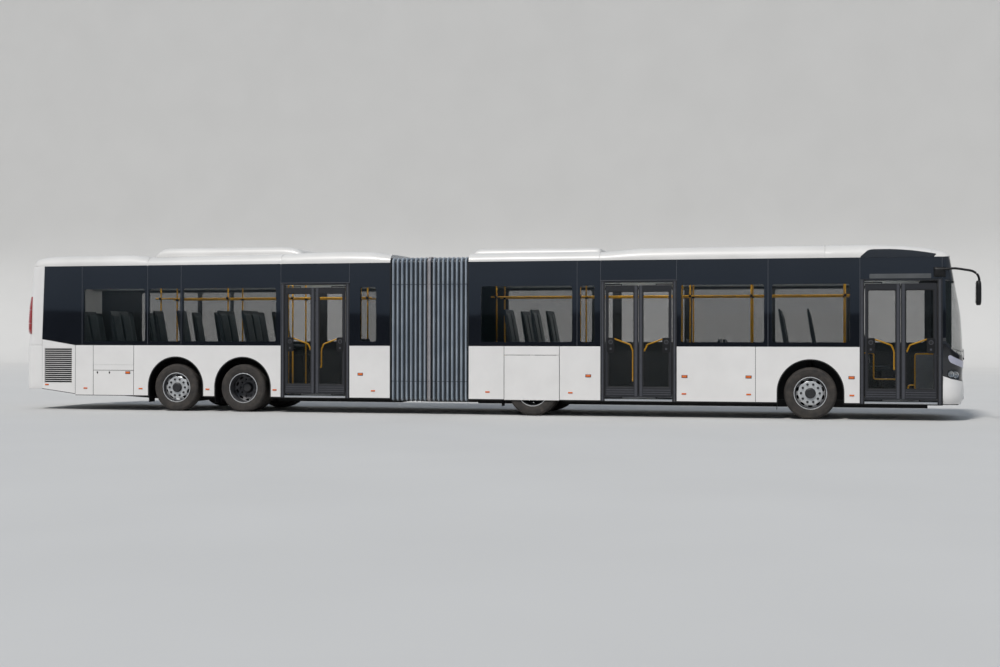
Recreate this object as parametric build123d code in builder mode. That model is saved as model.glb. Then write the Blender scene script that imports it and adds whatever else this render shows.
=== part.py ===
"""Articulated city bus: two sections joined at a turntable, four axles and three double doors.

Millimetres. +X is forward, +Y is left, +Z is up, and the ground is z = 0.
"""

import os
from math import asin, cos, degrees, radians, sin, sqrt

from build123d import *

os.makedirs("parts", exist_ok=True)

# Lengths along the bus, from the front end back
front_overhang = 2774
front_wheelbase = 5184
axle_2_to_pivot = 2044.5
pivot_to_axle_3 = 3868.5
tag_spacing = 1447
rear_overhang = 3432
mirror_reach = 200
door_1_ahead = 1592.5
door_2_ahead = 2029.5
door_3_ahead = 1528.5
bellows_length = 1559
end_frame = 10

# Widths and heights of the body
body_width = 2550
wall = 50
glass = 6
skirt_z = 300
rear_skirt_z = 425
tail_rise = 960
floor_z = 340
floor_plate = 60
belt_z = 1329
window_bottom_z = 1410
window_top_z = 2480
window_corner = 40
doorway_top_z = 2530
ceiling_z = 2740
band_top_z = 2957
roof_edge_z = 3150
roof_crown_z = 3190
roof_cove = 200

# Plan shape of the two ends
nose_corner = 385
nose_radius = 6700
nose_top_corner = 110
nose_top_radius = 9000
nose_top_lean = 250
tail_corner = 250
tail_radius = 20000
tail_top_lean = 55
nose_seam_land = 5
tail_seam_ahead = 445
windscreen_bottom_z = 1070

# Running gear
tyre_radius = 478.5
tyre_width = 276
tyre_bore = 285
rim_radius = 298
twin_spacing = 315
wheel_inset = 25
king_pin_inset = 72
arch_radius = 600
arch_lift = 22
wheel_box_sheet = 20
single_box_depth = 655
twin_box_depth = 800
hub_radius = 140
spindle_radius = 55
spindle_play = 1
lid_gap = 6
hinge_gap = 0.3
cover_sheet = 18
panel_gap = 0.3
pane_joint = 8

# Doors
leaf_width = 620
leaf_thickness = 36
leaf_bottom_z = 380
leaf_top_z = 2480
leaf_edge_gap = 32
leaf_meeting_gap = 5
post_radius = 17
post_offset = 52
post_wall_gap = 12
arm_height = 20
arm_width = 24
drive_case_depth = 160
door_frame_half = 715
door_head = 30

# Turntable and bellows
disc_radius = 760
bearing_bore = 300
bearing_outer = 560
bearing_play = 5
gangway_half = 560
bellows_bottom_z = 261
bellows_top_z = 3058
bellows_depth = 145
bellows_roof_depth = 298
fold_depth = 55
folds = 17

# Places worked out from the lengths
body_length = (
    front_overhang + front_wheelbase + axle_2_to_pivot + pivot_to_axle_3 + tag_spacing + rear_overhang
)
half_length = (body_length + mirror_reach) / 2
front_x = half_length - mirror_reach
rear_x = -half_length
half_width = body_width / 2
inner_half = half_width - wall
axle_1_x = front_x - front_overhang
axle_2_x = axle_1_x - front_wheelbase
pivot_x = axle_2_x - axle_2_to_pivot
axle_3_x = pivot_x - pivot_to_axle_3
axle_4_x = axle_3_x - tag_spacing
front_back_x = pivot_x + bellows_length / 2 + end_frame
rear_front_x = pivot_x - bellows_length / 2 - end_frame
tail_seam_x = rear_x + tail_seam_ahead
door_1_x = axle_1_x + door_1_ahead
door_2_x = axle_2_x + door_2_ahead
door_3_x = axle_3_x + door_3_ahead
floor_bottom_z = floor_z - floor_plate
wheel_y = half_width - wheel_inset - tyre_width / 2
king_pin_y = wheel_y - king_pin_inset
single_box_half = half_width - single_box_depth
twin_box_half = half_width - twin_box_depth

# A door leaf swings on a post: the post stands at the outer edge, its arms reach the leaf's middle
leaf_span = leaf_width + leaf_edge_gap + leaf_meeting_gap
arm_length = leaf_span / 2
leaf_y = half_width - leaf_thickness / 2 - 2
post_y = leaf_y - post_offset
doorway_half = leaf_span - leaf_edge_gap + post_wall_gap


def save(part, name):
    """Names a finished piece and writes it to its own file."""
    part.label = name
    export_step(part, f"parts/{name}.step")


def slab(x_ends, y_ends, z_ends, mode=Mode.ADD):
    """A box between two values on each axis."""
    centre = (sum(x_ends) / 2, sum(y_ends) / 2, sum(z_ends) / 2)
    with Locations(centre):
        Box(
            x_ends[1] - x_ends[0],
            abs(y_ends[1] - y_ends[0]),
            z_ends[1] - z_ends[0],
            mode=mode,
        )


def end_outline(end_x, back_x, corner, radius, inset=0, way=1):
    """Plan outline of a rounded end: a shallow arc across, a tighter arc at each corner."""
    half = half_width - inset
    corner = corner - inset
    radius = radius - inset
    sine = (half - corner) / (radius - corner)
    tilt = degrees(asin(sine))
    cosine = sqrt(1 - sine**2)
    centre_x = end_x - way * (inset + radius)
    corner_x = centre_x + way * (radius - corner) * cosine
    corner_y = half - corner
    meet = (centre_x + way * radius * cosine, radius * sine)
    turn = radians((90 + tilt) / 2)
    middle = (corner_x + way * corner * cos(turn), corner_y + corner * sin(turn))
    Line((back_x, -half), (corner_x, -half))
    ThreePointArc((corner_x, -half), (middle[0], -middle[1]), (meet[0], -meet[1]))
    ThreePointArc((meet[0], -meet[1]), (end_x - way * inset, 0), meet)
    ThreePointArc(meet, middle, (corner_x, half))
    Line((corner_x, half), (back_x, half))
    Line((back_x, half), (back_x, -half))


def corner_depth(corner, radius):
    """How far back of the end's middle its corner arcs reach the sides."""
    sine = (half_width - corner) / (radius - corner)
    return radius - (radius - corner) * sqrt(1 - sine**2)


# How the ends stand at each height: columns are z, lean back, corner radius and radius across
nose_middle_z = 1900
nose_middle_lean = 45
nose_levels = [
    (skirt_z, 0, nose_corner, nose_radius),
    (windscreen_bottom_z, 0, nose_corner, nose_radius),
    (nose_middle_z, nose_middle_lean, 0.85 * nose_corner, nose_radius),
    (band_top_z, nose_top_lean, nose_top_corner, nose_top_radius),
]
tail_levels = [
    (rear_skirt_z, 0, tail_corner, tail_radius),
    (belt_z, 0, tail_corner, tail_radius),
    (band_top_z, tail_top_lean, tail_corner, tail_radius),
]
nose_depths = [lean + corner_depth(corner, radius) for z, lean, corner, radius in nose_levels]
nose_seam_x = front_x - max(nose_depths) - nose_seam_land


def nose(inset, z_from, z_to, mode=Mode.ADD):
    """The solid inside the nose between two of its levels, set in from the outer skin."""
    loft_end(nose_levels, front_x, nose_seam_x, inset, 1, (z_from, z_to), mode)


def tail(inset, z_from, z_to, mode=Mode.ADD):
    """The solid inside the tail between two of its levels, set in from the outer skin."""
    loft_end(tail_levels, rear_x, tail_seam_x, inset, -1, (z_from, z_to), mode)


def loft_end(levels, end_x, back_x, inset, way, z_ends, mode):
    """Lofts the end's outline straight from level to level."""
    rows = [row for row in levels if z_ends[0] <= row[0] <= z_ends[1]]
    sections = []
    for z, lean, corner, radius in rows:
        with BuildSketch(Plane.XY.offset(z)) as face:
            with BuildLine():
                end_outline(end_x - way * lean, back_x, corner, radius, inset, way)
            make_face()
        sections.append(face.sketch)
    for pair in zip(sections, sections[1:]):
        loft(pair, ruled=True, mode=mode)


def wall_plane(side):
    """The plane of a side wall's inner face, facing outwards: side is -1 right, 1 left."""
    return Plane(origin=(0, side * inner_half, 0), x_dir=(1, 0, 0), z_dir=(0, side, 0))


def upright(x, z, side):
    """Turns a place on the bus into that wall plane's own coordinates."""
    return (x, z if side < 0 else -z)


def wall_face(x_ends, z_ends, side, corner=0, mode=Mode.ADD):
    """A rectangle on a side wall between two x and two z values."""
    with Locations(upright(sum(x_ends) / 2, sum(z_ends) / 2, side)):
        width = x_ends[1] - x_ends[0]
        height = z_ends[1] - z_ends[0]
        if corner:
            RectangleRounded(width, height, corner, mode=mode)
        else:
            Rectangle(width, height, mode=mode)


def arch_face(axle_x, side, mode=Mode.SUBTRACT):
    """A wheel arch: round above the axle, straight down to the skirt."""
    centre_z = tyre_radius + arch_lift
    with Locations(upright(axle_x, centre_z, side)):
        Circle(arch_radius, mode=mode)
    wall_face((axle_x - arch_radius, axle_x + arch_radius), (0, centre_z), side, mode=mode)


def door_spans(doors, half):
    """The x ends of each doorway at a given half width."""
    return [(door_x - half, door_x + half) for door_x in doors]


def panes(x_ends, joints, doors):
    """The glass panes of a side as x ends and z ends: whole ones, and one over each door's frame."""
    frames = door_spans(doors, door_frame_half)
    places = sorted(list(x_ends) + list(joints) + [x for frame in frames for x in frame])
    places = [x for x in places if x <= x_ends[1]]
    rows = []
    for ends in zip(places, places[1:]):
        over_door = any(frame[0] <= ends[0] < frame[1] for frame in frames)
        low = doorway_top_z + door_head if over_door else belt_z
        rows.append((ends, (low, band_top_z)))
    return rows


def side_wall(side, x_ends, joints, arches, windows, doors, lids, tail_rise=0):
    """A side wall as thick as the real one, with its windows, doorways, arches and lids cut out.

    The glass panes are bonded into recesses, the doorways part it into lengths, and the skirt may
    rise towards the tail. Over each doorway is a header with the door drive's case.
    """
    with BuildSketch(wall_plane(side)) as face:
        wall_face(x_ends, (skirt_z, band_top_z), side)
        for axle_x in arches:
            arch_face(axle_x, side)
        for ends in windows:
            wall_face(ends, (window_bottom_z, window_top_z), side, window_corner, Mode.SUBTRACT)
        for ends in door_spans(doors, doorway_half):
            wall_face(ends, (0, band_top_z + 1), side, mode=Mode.SUBTRACT)
        for ends, z_ends in lids:
            wall_face(ends, z_ends, side, mode=Mode.SUBTRACT)
        if tail_rise:
            with BuildLine():
                Polyline(
                    upright(x_ends[0] - 1, skirt_z - 1, side),
                    upright(x_ends[0] - 1, rear_skirt_z, side),
                    upright(x_ends[0] + tail_rise, skirt_z - 1, side),
                    close=True,
                )
            make_face(mode=Mode.SUBTRACT)
    extrude(face.sketch, amount=wall)
    for ends in door_spans(doors, doorway_half - panel_gap):
        slab(ends, (side * inner_half, side * half_width), (doorway_top_z, band_top_z))
        case_ends = (side * (inner_half - drive_case_depth), side * inner_half)
        slab(ends, case_ends, (doorway_top_z, ceiling_z))
    for ends, z_ends in panes(x_ends, joints, doors):
        slab(ends, (side * (half_width - glass), side * half_width), z_ends, Mode.SUBTRACT)


def side_glass(side, x_ends, joints, doors):
    """The bonded glass panes of a side wall, from belt to roof, with open joints between them."""
    for ends, z_ends in panes(x_ends, joints, doors):
        pane_ends = (ends[0] + pane_joint / 2, ends[1] - pane_joint / 2)
        slab(pane_ends, (side * (half_width - glass), side * half_width), z_ends)


def lid(side, ends, z_ends, sheet):
    """A lid flush with the wall's outer face, smaller than its opening by the gap."""
    plane = wall_plane(side).offset(wall - sheet)
    with BuildSketch(plane) as face:
        wall_face(
            (ends[0] + lid_gap, ends[1] - lid_gap),
            (z_ends[0], z_ends[1] - hinge_gap),
            side,
        )
    extrude(face.sketch, amount=sheet)


# Openings of the side walls
cover_ends = (axle_2_x - 553, axle_2_x + 527)
cover_z = (skirt_z, 1160)
flap_ends = (tail_seam_x + 1161, tail_seam_x + 2064)
flap_z = (skirt_z, 930)
grille_ends = (tail_seam_x + 66, tail_seam_x + 681)
grille_z = (660, 1290)
joint_1_x = axle_1_x - 762
joint_2_x = axle_2_x + 864
front_joints = [joint_2_x, joint_1_x]
front_windows = [
    (axle_2_x - 1007, joint_2_x - 96),
    (joint_2_x + 57, door_2_x - door_frame_half - 115.5),
    (door_2_x + door_frame_half + 83.5, joint_1_x - 72),
    (joint_1_x + 73, door_1_x - door_frame_half - 174.5),
]
rear_joints = [axle_4_x - 2080, axle_4_x - 618, axle_4_x + 118]
rear_windows = [
    (rear_joints[0] + 45, rear_joints[1] - 55),
    (rear_joints[1] + 33, rear_joints[2] - 22),
    (rear_joints[2] + 43, door_3_x - door_frame_half - 101.5),
    (door_3_x + door_frame_half + 221.5, door_3_x + door_frame_half + 549.5),
]
front_left_joints = front_joints + [
    door_1_x - door_frame_half,
    door_2_x - door_frame_half,
    door_2_x + door_frame_half,
]
front_left_windows = front_windows + [
    (door_2_x - door_frame_half + 70, door_2_x + door_frame_half - 70),
    (door_1_x - door_frame_half + 70, nose_seam_x - 120),
]
rear_left_joints = rear_joints + [door_3_x - door_frame_half]
rear_left_windows = rear_windows[:3] + [
    (door_3_x - door_frame_half + 70, door_3_x + door_frame_half + 549.5),
]

with BuildPart() as front_side_right:
    side_wall(
        -1,
        (front_back_x, nose_seam_x),
        front_joints,
        [axle_1_x],
        front_windows,
        [door_1_x, door_2_x],
        [(cover_ends, (0, cover_z[1]))],
    )
save(front_side_right.part, "front_side_right")

with BuildPart() as front_side_left:
    side_wall(
        1,
        (front_back_x, nose_seam_x),
        front_left_joints,
        [axle_1_x],
        front_left_windows,
        [],
        [(cover_ends, (0, cover_z[1]))],
    )
save(front_side_left.part, "front_side_left")

with BuildPart() as rear_side_right:
    side_wall(
        -1,
        (tail_seam_x, rear_front_x),
        rear_joints,
        [axle_3_x, axle_4_x],
        rear_windows,
        [door_3_x],
        [(flap_ends, (0, flap_z[1])), (grille_ends, grille_z)],
        tail_rise,
    )
save(rear_side_right.part, "rear_side_right")

with BuildPart() as rear_side_left:
    side_wall(
        1,
        (tail_seam_x, rear_front_x),
        rear_left_joints,
        [axle_3_x, axle_4_x],
        rear_left_windows,
        [],
        [],
        tail_rise,
    )
save(rear_side_left.part, "rear_side_left")

for name, side in (("wheel_cover_right", -1), ("wheel_cover_left", 1)):
    with BuildPart() as wheel_cover:
        lid(side, cover_ends, cover_z, cover_sheet)
    save(wheel_cover.part, name)

with BuildPart() as service_flap:
    lid(-1, flap_ends, flap_z, wall)
save(service_flap.part, "service_flap")

# Radiator grille in its opening on the right, slotted from side to side
slot_count = 17
slot_height = 18
grille_frame = 40
with BuildPart() as radiator_grille:
    with BuildSketch(wall_plane(-1)):
        wall_face(grille_ends, grille_z, -1)
        inner_ends = (grille_ends[0] + grille_frame, grille_ends[1] - grille_frame)
        pitch = (grille_z[1] - grille_z[0] - 2 * grille_frame) / slot_count
        for number in range(slot_count):
            slot_z = grille_z[0] + grille_frame + (number + 0.5) * pitch
            wall_face(
                inner_ends,
                (slot_z - slot_height / 2, slot_z + slot_height / 2),
                -1,
                mode=Mode.SUBTRACT,
            )
    extrude(amount=wall)
save(radiator_grille.part, "radiator_grille")

# Roof sections: a crowned slab with coved edges, and a side outline that dips beside the roof units
def roof_slab(x_ends):
    """A roof between two x values: flat ceiling, coved edges and a shallow crown."""
    edge_y = half_width - roof_cove
    cove_y = half_width - roof_cove * (1 - cos(radians(45)))
    cove_z = band_top_z + (roof_edge_z - band_top_z) * sin(radians(45))
    with BuildSketch(Plane(origin=(x_ends[0], 0, 0), x_dir=(0, 1, 0), z_dir=(1, 0, 0))) as face:
        with BuildLine():
            Polyline(
                (-half_width, band_top_z),
                (-inner_half, band_top_z),
                (-inner_half, ceiling_z),
                (inner_half, ceiling_z),
                (inner_half, band_top_z),
                (half_width, band_top_z),
            )
            ThreePointArc((half_width, band_top_z), (cove_y, cove_z), (edge_y, roof_edge_z))
            ThreePointArc((edge_y, roof_edge_z), (0, roof_crown_z), (-edge_y, roof_edge_z))
            ThreePointArc((-edge_y, roof_edge_z), (-cove_y, cove_z), (-half_width, band_top_z))
        make_face()
    extrude(face.sketch, amount=x_ends[1] - x_ends[0])


def trim_side(points):
    """Keeps only what lies inside a side outline of x and z points."""
    with BuildSketch(Plane.XZ.offset(-half_width - 1)) as face:
        with BuildLine():
            Polyline(*points, close=True)
        make_face()
    extrude(face.sketch, amount=body_width + 2, mode=Mode.INTERSECT)


def trim_plan(end_x, back_x, corner, radius, way):
    """Keeps only what lies inside a rounded end's plan outline."""
    with BuildSketch(Plane.XY.offset(ceiling_z - 1)) as face:
        with BuildLine():
            end_outline(end_x, back_x, corner, radius, 0, way)
        make_face()
    extrude(face.sketch, amount=roof_crown_z - ceiling_z + 2, mode=Mode.INTERSECT)


def roof_unit(x_ends, z_top, half, slope):
    """A roof unit's cover: a low box with sloped ends and sides."""
    base_z = roof_edge_z - 60
    with BuildSketch(Plane.XY.offset(base_z)) as base:
        with Locations(((x_ends[0] + x_ends[1]) / 2, 0)):
            RectangleRounded(x_ends[1] - x_ends[0], 2 * half, 120)
    with BuildSketch(Plane.XY.offset(z_top)) as top:
        with Locations(((x_ends[0] + x_ends[1]) / 2, 0)):
            RectangleRounded(x_ends[1] - x_ends[0] - 2 * slope, 2 * half - 2 * slope, 60)
    loft((base.sketch, top.sketch), ruled=True)


roof_dip_z = 3112
front_unit = (front_back_x + 60, axle_2_x + 1290)
rear_unit = (axle_4_x - 600, door_3_x - 430)

with BuildPart() as front_roof:
    nose_top_x = front_x - nose_top_lean
    roof_slab((front_back_x, nose_top_x))
    trim_plan(nose_top_x, front_back_x, nose_top_corner, nose_top_radius, 1)
    trim_side(
        [
            (front_back_x, ceiling_z),
            (nose_top_x, ceiling_z),
            (nose_top_x, band_top_z),
            (nose_top_x - 40, band_top_z + 50),
            (nose_top_x - 150, band_top_z + 95),
            (nose_top_x - 500, band_top_z + 165),
            (nose_top_x - 900, band_top_z + 212),
            (nose_top_x - 1400, roof_crown_z),
            (front_unit[1] + 900, roof_crown_z),
            (front_unit[1] + 80, roof_dip_z),
            (front_back_x, roof_dip_z),
        ]
    )
    slab(
        (nose_seam_x, nose_top_x),
        (-half_width, half_width),
        (ceiling_z - 1, band_top_z),
        Mode.SUBTRACT,
    )
    roof_unit(front_unit, 3225, 960, 45)
save(front_roof.part, "front_roof")

with BuildPart() as rear_roof:
    tail_top_x = rear_x + tail_top_lean
    roof_slab((tail_top_x, rear_front_x))
    trim_plan(tail_top_x, rear_front_x, tail_corner, tail_radius, -1)
    trim_side(
        [
            (rear_front_x, ceiling_z),
            (tail_top_x, ceiling_z),
            (tail_top_x, band_top_z),
            (tail_top_x + 40, band_top_z + 80),
            (tail_top_x + 180, band_top_z + 150),
            (tail_top_x + 500, band_top_z + 205),
            (tail_top_x + 1100, band_top_z + 222),
            (rear_unit[0] - 330, band_top_z + 215),
            (rear_unit[0] - 60, roof_dip_z),
            (rear_unit[1], roof_crown_z - 10),
            (rear_front_x - 500, roof_crown_z - 5),
            (rear_front_x - 100, roof_dip_z + 8),
            (rear_front_x, roof_dip_z),
        ]
    )
    slab(
        (tail_top_x, tail_seam_x),
        (-half_width, half_width),
        (ceiling_z - 1, band_top_z),
        Mode.SUBTRACT,
    )
    roof_unit(rear_unit, 3326, 960, 130)
save(rear_roof.part, "rear_roof")

# Nose: lower mask with the front pillars and the beam over the windscreen
pillar_depth = 66
with BuildPart() as front_mask:
    nose(0, skirt_z, windscreen_bottom_z)
    nose(wall, skirt_z, windscreen_bottom_z, Mode.SUBTRACT)
    slab(
        (nose_seam_x - 1, nose_seam_x + wall),
        (-inner_half, inner_half),
        (skirt_z, windscreen_bottom_z),
        Mode.SUBTRACT,
    )
save(front_mask.part, "front_mask")

with BuildPart() as front_pillars:
    nose(glass, windscreen_bottom_z, band_top_z)
    nose(pillar_depth, windscreen_bottom_z, band_top_z, Mode.SUBTRACT)
    slab(
        (nose_seam_x + 150, front_x),
        (-half_width, half_width),
        (windscreen_bottom_z + 80, doorway_top_z + 130),
        Mode.SUBTRACT,
    )
save(front_pillars.part, "front_pillars")

with BuildPart() as windscreen:
    nose(0, windscreen_bottom_z, band_top_z)
    nose(glass, windscreen_bottom_z, band_top_z, Mode.SUBTRACT)
save(windscreen.part, "windscreen")

with BuildPart() as front_glazing:
    side_glass(-1, (front_back_x, nose_seam_x), front_joints, [door_1_x, door_2_x])
    side_glass(1, (front_back_x, nose_seam_x), front_left_joints, [])
save(front_glazing.part, "front_glazing")

with BuildPart() as rear_glazing:
    side_glass(-1, (tail_seam_x, rear_front_x), rear_joints, [door_3_x])
    side_glass(1, (tail_seam_x, rear_front_x), rear_left_joints, [])
save(rear_glazing.part, "rear_glazing")

# Tail: shell with the rear window and the engine lid's opening
lid_half = 900
lid_z = (560, 1290)
rear_window_z = (1560, 2480)
with BuildPart() as rear_end:
    tail(0, rear_skirt_z, belt_z)
    tail(glass, belt_z, band_top_z)
    tail(wall, rear_skirt_z, band_top_z, Mode.SUBTRACT)
    slab((rear_x, tail_seam_x - 300), (-lid_half, lid_half), lid_z, Mode.SUBTRACT)
    slab((rear_x, tail_seam_x - 300), (-lid_half, lid_half), rear_window_z, Mode.SUBTRACT)
save(rear_end.part, "rear_end")

with BuildPart() as engine_lid:
    tail(0, rear_skirt_z, belt_z)
    tail(wall, rear_skirt_z, belt_z, Mode.SUBTRACT)
    slab(
        (rear_x, tail_seam_x - 300),
        (-lid_half + lid_gap, lid_half - lid_gap),
        (lid_z[0] + lid_gap, lid_z[1] - hinge_gap),
        Mode.INTERSECT,
    )
save(engine_lid.part, "engine_lid")

with BuildPart() as rear_window:
    tail(0, belt_z, band_top_z)
    tail(glass, belt_z, band_top_z, Mode.SUBTRACT)
save(rear_window.part, "rear_window")


# Floors: a plate with rails under it, and wheel boxes standing on it
flap_bottom_z = 175
flap_sheet = 8


def wheel_box(axle_x, box_half, side):
    """A wheel box open below and outwards, with the mud flap that hangs from its rear wall."""
    top_z = tyre_radius + arch_lift + arch_radius
    half_length = arch_radius + wheel_box_sheet
    ends = (side * box_half, side * inner_half)
    room = (side * (box_half + wheel_box_sheet), side * half_width)
    slab((axle_x - half_length, axle_x + half_length), ends, (floor_z, top_z + wheel_box_sheet))
    slab((axle_x - arch_radius, axle_x + arch_radius), room, (floor_z - 1, top_z), Mode.SUBTRACT)
    flap_x = axle_x - arch_radius
    flap_ends = (side * (wheel_y - tyre_width / 2), side * (half_width - wall))
    slab((flap_x - flap_sheet, flap_x), flap_ends, (flap_bottom_z, floor_z + flap_sheet))


def wheel_cutout(axle_x, box_half, side):
    """The wheel's room cut down through the floor."""
    ends = (side * (box_half + wheel_box_sheet), side * half_width)
    x_ends = (axle_x - arch_radius - flap_sheet, axle_x + arch_radius)
    slab(x_ends, ends, (floor_bottom_z - rail_depth, floor_z), Mode.SUBTRACT)


def sill(door_x):
    """The step edge of a doorway on the right, out to the wall's outer face."""
    slab(
        (door_x - doorway_half, door_x + doorway_half),
        (-half_width, -inner_half),
        (skirt_z, floor_z),
    )


rail_y = 430
rail_width = 70
rail_depth = 90
rail_bottom_z = floor_bottom_z - rail_depth


def rails(spans):
    """A pair of frame rails under the floor along each span, with a cross member at each end."""
    for start, end in spans:
        for side in (-1, 1):
            y_ends = (side * rail_y - rail_width / 2, side * rail_y + rail_width / 2)
            slab((start, end), y_ends, (rail_bottom_z, floor_bottom_z))
        for x in (start, end):
            inward = rail_width if x == start else -rail_width
            x_ends = (min(x, x + inward), max(x, x + inward))
            slab(x_ends, (-rail_y, rail_y), (rail_bottom_z, floor_bottom_z))


axle_room = 420
front_boxes = [(axle_1_x, single_box_half), (axle_2_x, twin_box_half)]
rear_boxes = [(axle_3_x, twin_box_half), (axle_4_x, single_box_half)]
tow_eye_radius = 20
tow_eye_outer = 50
tow_eye_depth = 60
tow_eye_back = 60
with BuildPart() as front_floor:
    slab((front_back_x, nose_seam_x), (-inner_half, inner_half), (floor_bottom_z, floor_z))
    with BuildSketch(Plane.XY.offset(skirt_z)):
        with BuildLine():
            end_outline(front_x, nose_seam_x, nose_corner, nose_radius, wall, 1)
        make_face()
    extrude(amount=floor_z - skirt_z)
    tow_x = front_x - wall - tow_eye_back
    with BuildSketch(Plane.XY.offset(skirt_z - tow_eye_depth)):
        with Locations((tow_x, 0)):
            Circle(tow_eye_outer)
        with Locations((tow_x - tow_eye_outer, 0)):
            Rectangle(2 * tow_eye_outer, 2 * tow_eye_outer)
        with Locations((tow_x, 0)):
            Circle(tow_eye_radius, mode=Mode.SUBTRACT)
    extrude(amount=tow_eye_depth)
    for door_x in (door_1_x, door_2_x):
        sill(door_x)
    for axle_x, box_half in front_boxes:
        for side in (-1, 1):
            wheel_cutout(axle_x, box_half, side)
    rails(
        [
            (front_back_x, axle_2_x - axle_room),
            (axle_2_x + axle_room, axle_1_x - axle_room),
            (axle_1_x + axle_room, nose_seam_x - 200),
        ]
    )
save(front_floor.part, "front_floor")

deck_z = 900
deck_plate = 40
deck_x = axle_4_x - 900
with BuildPart() as rear_floor:
    slab((deck_x, rear_front_x), (-inner_half, inner_half), (floor_bottom_z, floor_z))
    slab((deck_x, deck_x + deck_plate), (-inner_half, inner_half), (floor_bottom_z, deck_z))
    slab((tail_seam_x, deck_x + deck_plate), (-inner_half, inner_half), (deck_z - deck_plate, deck_z))
    sill(door_3_x)
    for axle_x, box_half in rear_boxes:
        for side in (-1, 1):
            wheel_cutout(axle_x, box_half, side)
    rails(
        [
            (axle_3_x + axle_room, rear_front_x),
            (axle_4_x + axle_room, axle_3_x - axle_room),
        ]
    )
    for side in (-1, 1):
        y_ends = (side * rail_y - rail_width / 2, side * rail_y + rail_width / 2)
        slab((tail_seam_x, axle_4_x - axle_room), y_ends, (rail_bottom_z, floor_bottom_z))
save(rear_floor.part, "rear_floor")

# Wheel boxes: one over each wheel, those of the last two axles side by side
for name, boxes in (("front_wheel_boxes", front_boxes), ("rear_wheel_boxes", rear_boxes)):
    with BuildPart() as wheel_boxes:
        for axle_x, box_half in boxes:
            for side in (-1, 1):
                wheel_box(axle_x, box_half, side)
    save(wheel_boxes.part, name)

# Engine: one block behind the last axle, on the frame rails
engine_x = (tail_seam_x + 60, deck_x - 400)
with BuildPart() as engine:
    slab(engine_x, (-560, 560), (floor_bottom_z, deck_z - deck_plate))
save(engine.part, "engine")


# Axles: cranked beams, low between the wheel boxes and up to the wheel centres inside them
beam_bottom_z = 160
beam_depth = 90
beam_x = 110
stub_half = 60
leg_width = 120
leg_gap = 15
air_spring_radius = 50
twin_beam_end = twin_box_half + wheel_box_sheet + leg_gap + leg_width + 10


def axle_beam(axle_x, box_half, end_y):
    """A beam of cranked outline, square across."""
    low = beam_bottom_z
    high = beam_bottom_z + beam_depth
    leg_in = box_half + wheel_box_sheet + leg_gap
    leg_out = leg_in + leg_width
    stub_low = tyre_radius - stub_half
    stub_high = tyre_radius + stub_half
    with BuildSketch(Plane(origin=(axle_x - beam_x / 2, 0, 0), x_dir=(0, 1, 0), z_dir=(1, 0, 0))) as face:
        with BuildLine():
            half_outline = [
                (leg_out - 60, low),
                (leg_out, low + 60),
                (leg_out, stub_low),
                (end_y, stub_low),
                (end_y, stub_high),
                (leg_in + 30, stub_high),
                (leg_in, stub_high - 30),
                (leg_in, high),
            ]
            other_half = [(-y, z) for y, z in reversed(half_outline)]
            Polyline(*half_outline, *other_half, close=True)
        make_face()
    extrude(face.sketch, amount=beam_x)


king_pin_radius = 23
king_boss_radius = 58
king_boss_half = 70
king_lug = 28
knuckle_gap = 5


def king_bosses(axle_x):
    """The upright bosses at a beam's ends that the king pins turn in."""
    bottom = tyre_radius - king_boss_half
    with BuildSketch(Plane.XY.offset(bottom)) as face:
        with Locations((axle_x, -king_pin_y), (axle_x, king_pin_y)):
            Circle(king_boss_radius)
    extrude(face.sketch, amount=2 * king_boss_half)
    with BuildSketch(Plane.XY.offset(bottom)) as face:
        with Locations((axle_x, -king_pin_y), (axle_x, king_pin_y)):
            Circle(king_pin_radius + spindle_play)
    extrude(face.sketch, amount=2 * king_boss_half, mode=Mode.SUBTRACT)


def wheel_plane(axle_x, side, y):
    """A plane across the wheel's axis, facing outwards."""
    return Plane(origin=(axle_x, side * y, tyre_radius), x_dir=(1, 0, 0), z_dir=(0, side, 0))


def air_springs(axle_x, box_half):
    """An upright air spring on each end of a beam, up to the wheel box's ceiling."""
    bottom = tyre_radius + stub_half
    y = box_half + wheel_box_sheet + leg_gap + leg_width / 2
    with BuildSketch(Plane.XY.offset(bottom)) as face:
        with Locations((axle_x, -y), (axle_x, y)):
            Circle(air_spring_radius)
    extrude(face.sketch, amount=tyre_radius + arch_lift + arch_radius - bottom)


def twin_spindles(axle_x):
    """The fixed spindles that a pair of twin wheels turns on."""
    start_y = twin_beam_end - 1
    for side in (-1, 1):
        with BuildSketch(wheel_plane(axle_x, side, start_y)) as face:
            Circle(spindle_radius)
        extrude(face.sketch, amount=twin_spindle_end - start_y)


twin_mid_y = wheel_y - twin_spacing / 2
twin_hub_out = 95
twin_hub_in = 70
cap_sheet = 14
twin_spindle_end = twin_mid_y + twin_hub_out - cap_sheet - knuckle_gap
single_hub_in = 23
single_hub_out = 100
single_spindle_end = wheel_y + single_hub_out - cap_sheet - knuckle_gap

with BuildPart() as front_axles:
    axle_beam(axle_1_x, single_box_half, king_pin_y - 20)
    king_bosses(axle_1_x)
    air_springs(axle_1_x, single_box_half)
    axle_beam(axle_2_x, twin_box_half, twin_beam_end)
    twin_spindles(axle_2_x)
    air_springs(axle_2_x, twin_box_half)
save(front_axles.part, "front_axles")

with BuildPart() as rear_axles:
    axle_beam(axle_3_x, twin_box_half, twin_beam_end)
    twin_spindles(axle_3_x)
    air_springs(axle_3_x, twin_box_half)
    axle_beam(axle_4_x, single_box_half, king_pin_y - 20)
    king_bosses(axle_4_x)
    air_springs(axle_4_x, single_box_half)
save(rear_axles.part, "rear_axles")

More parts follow.
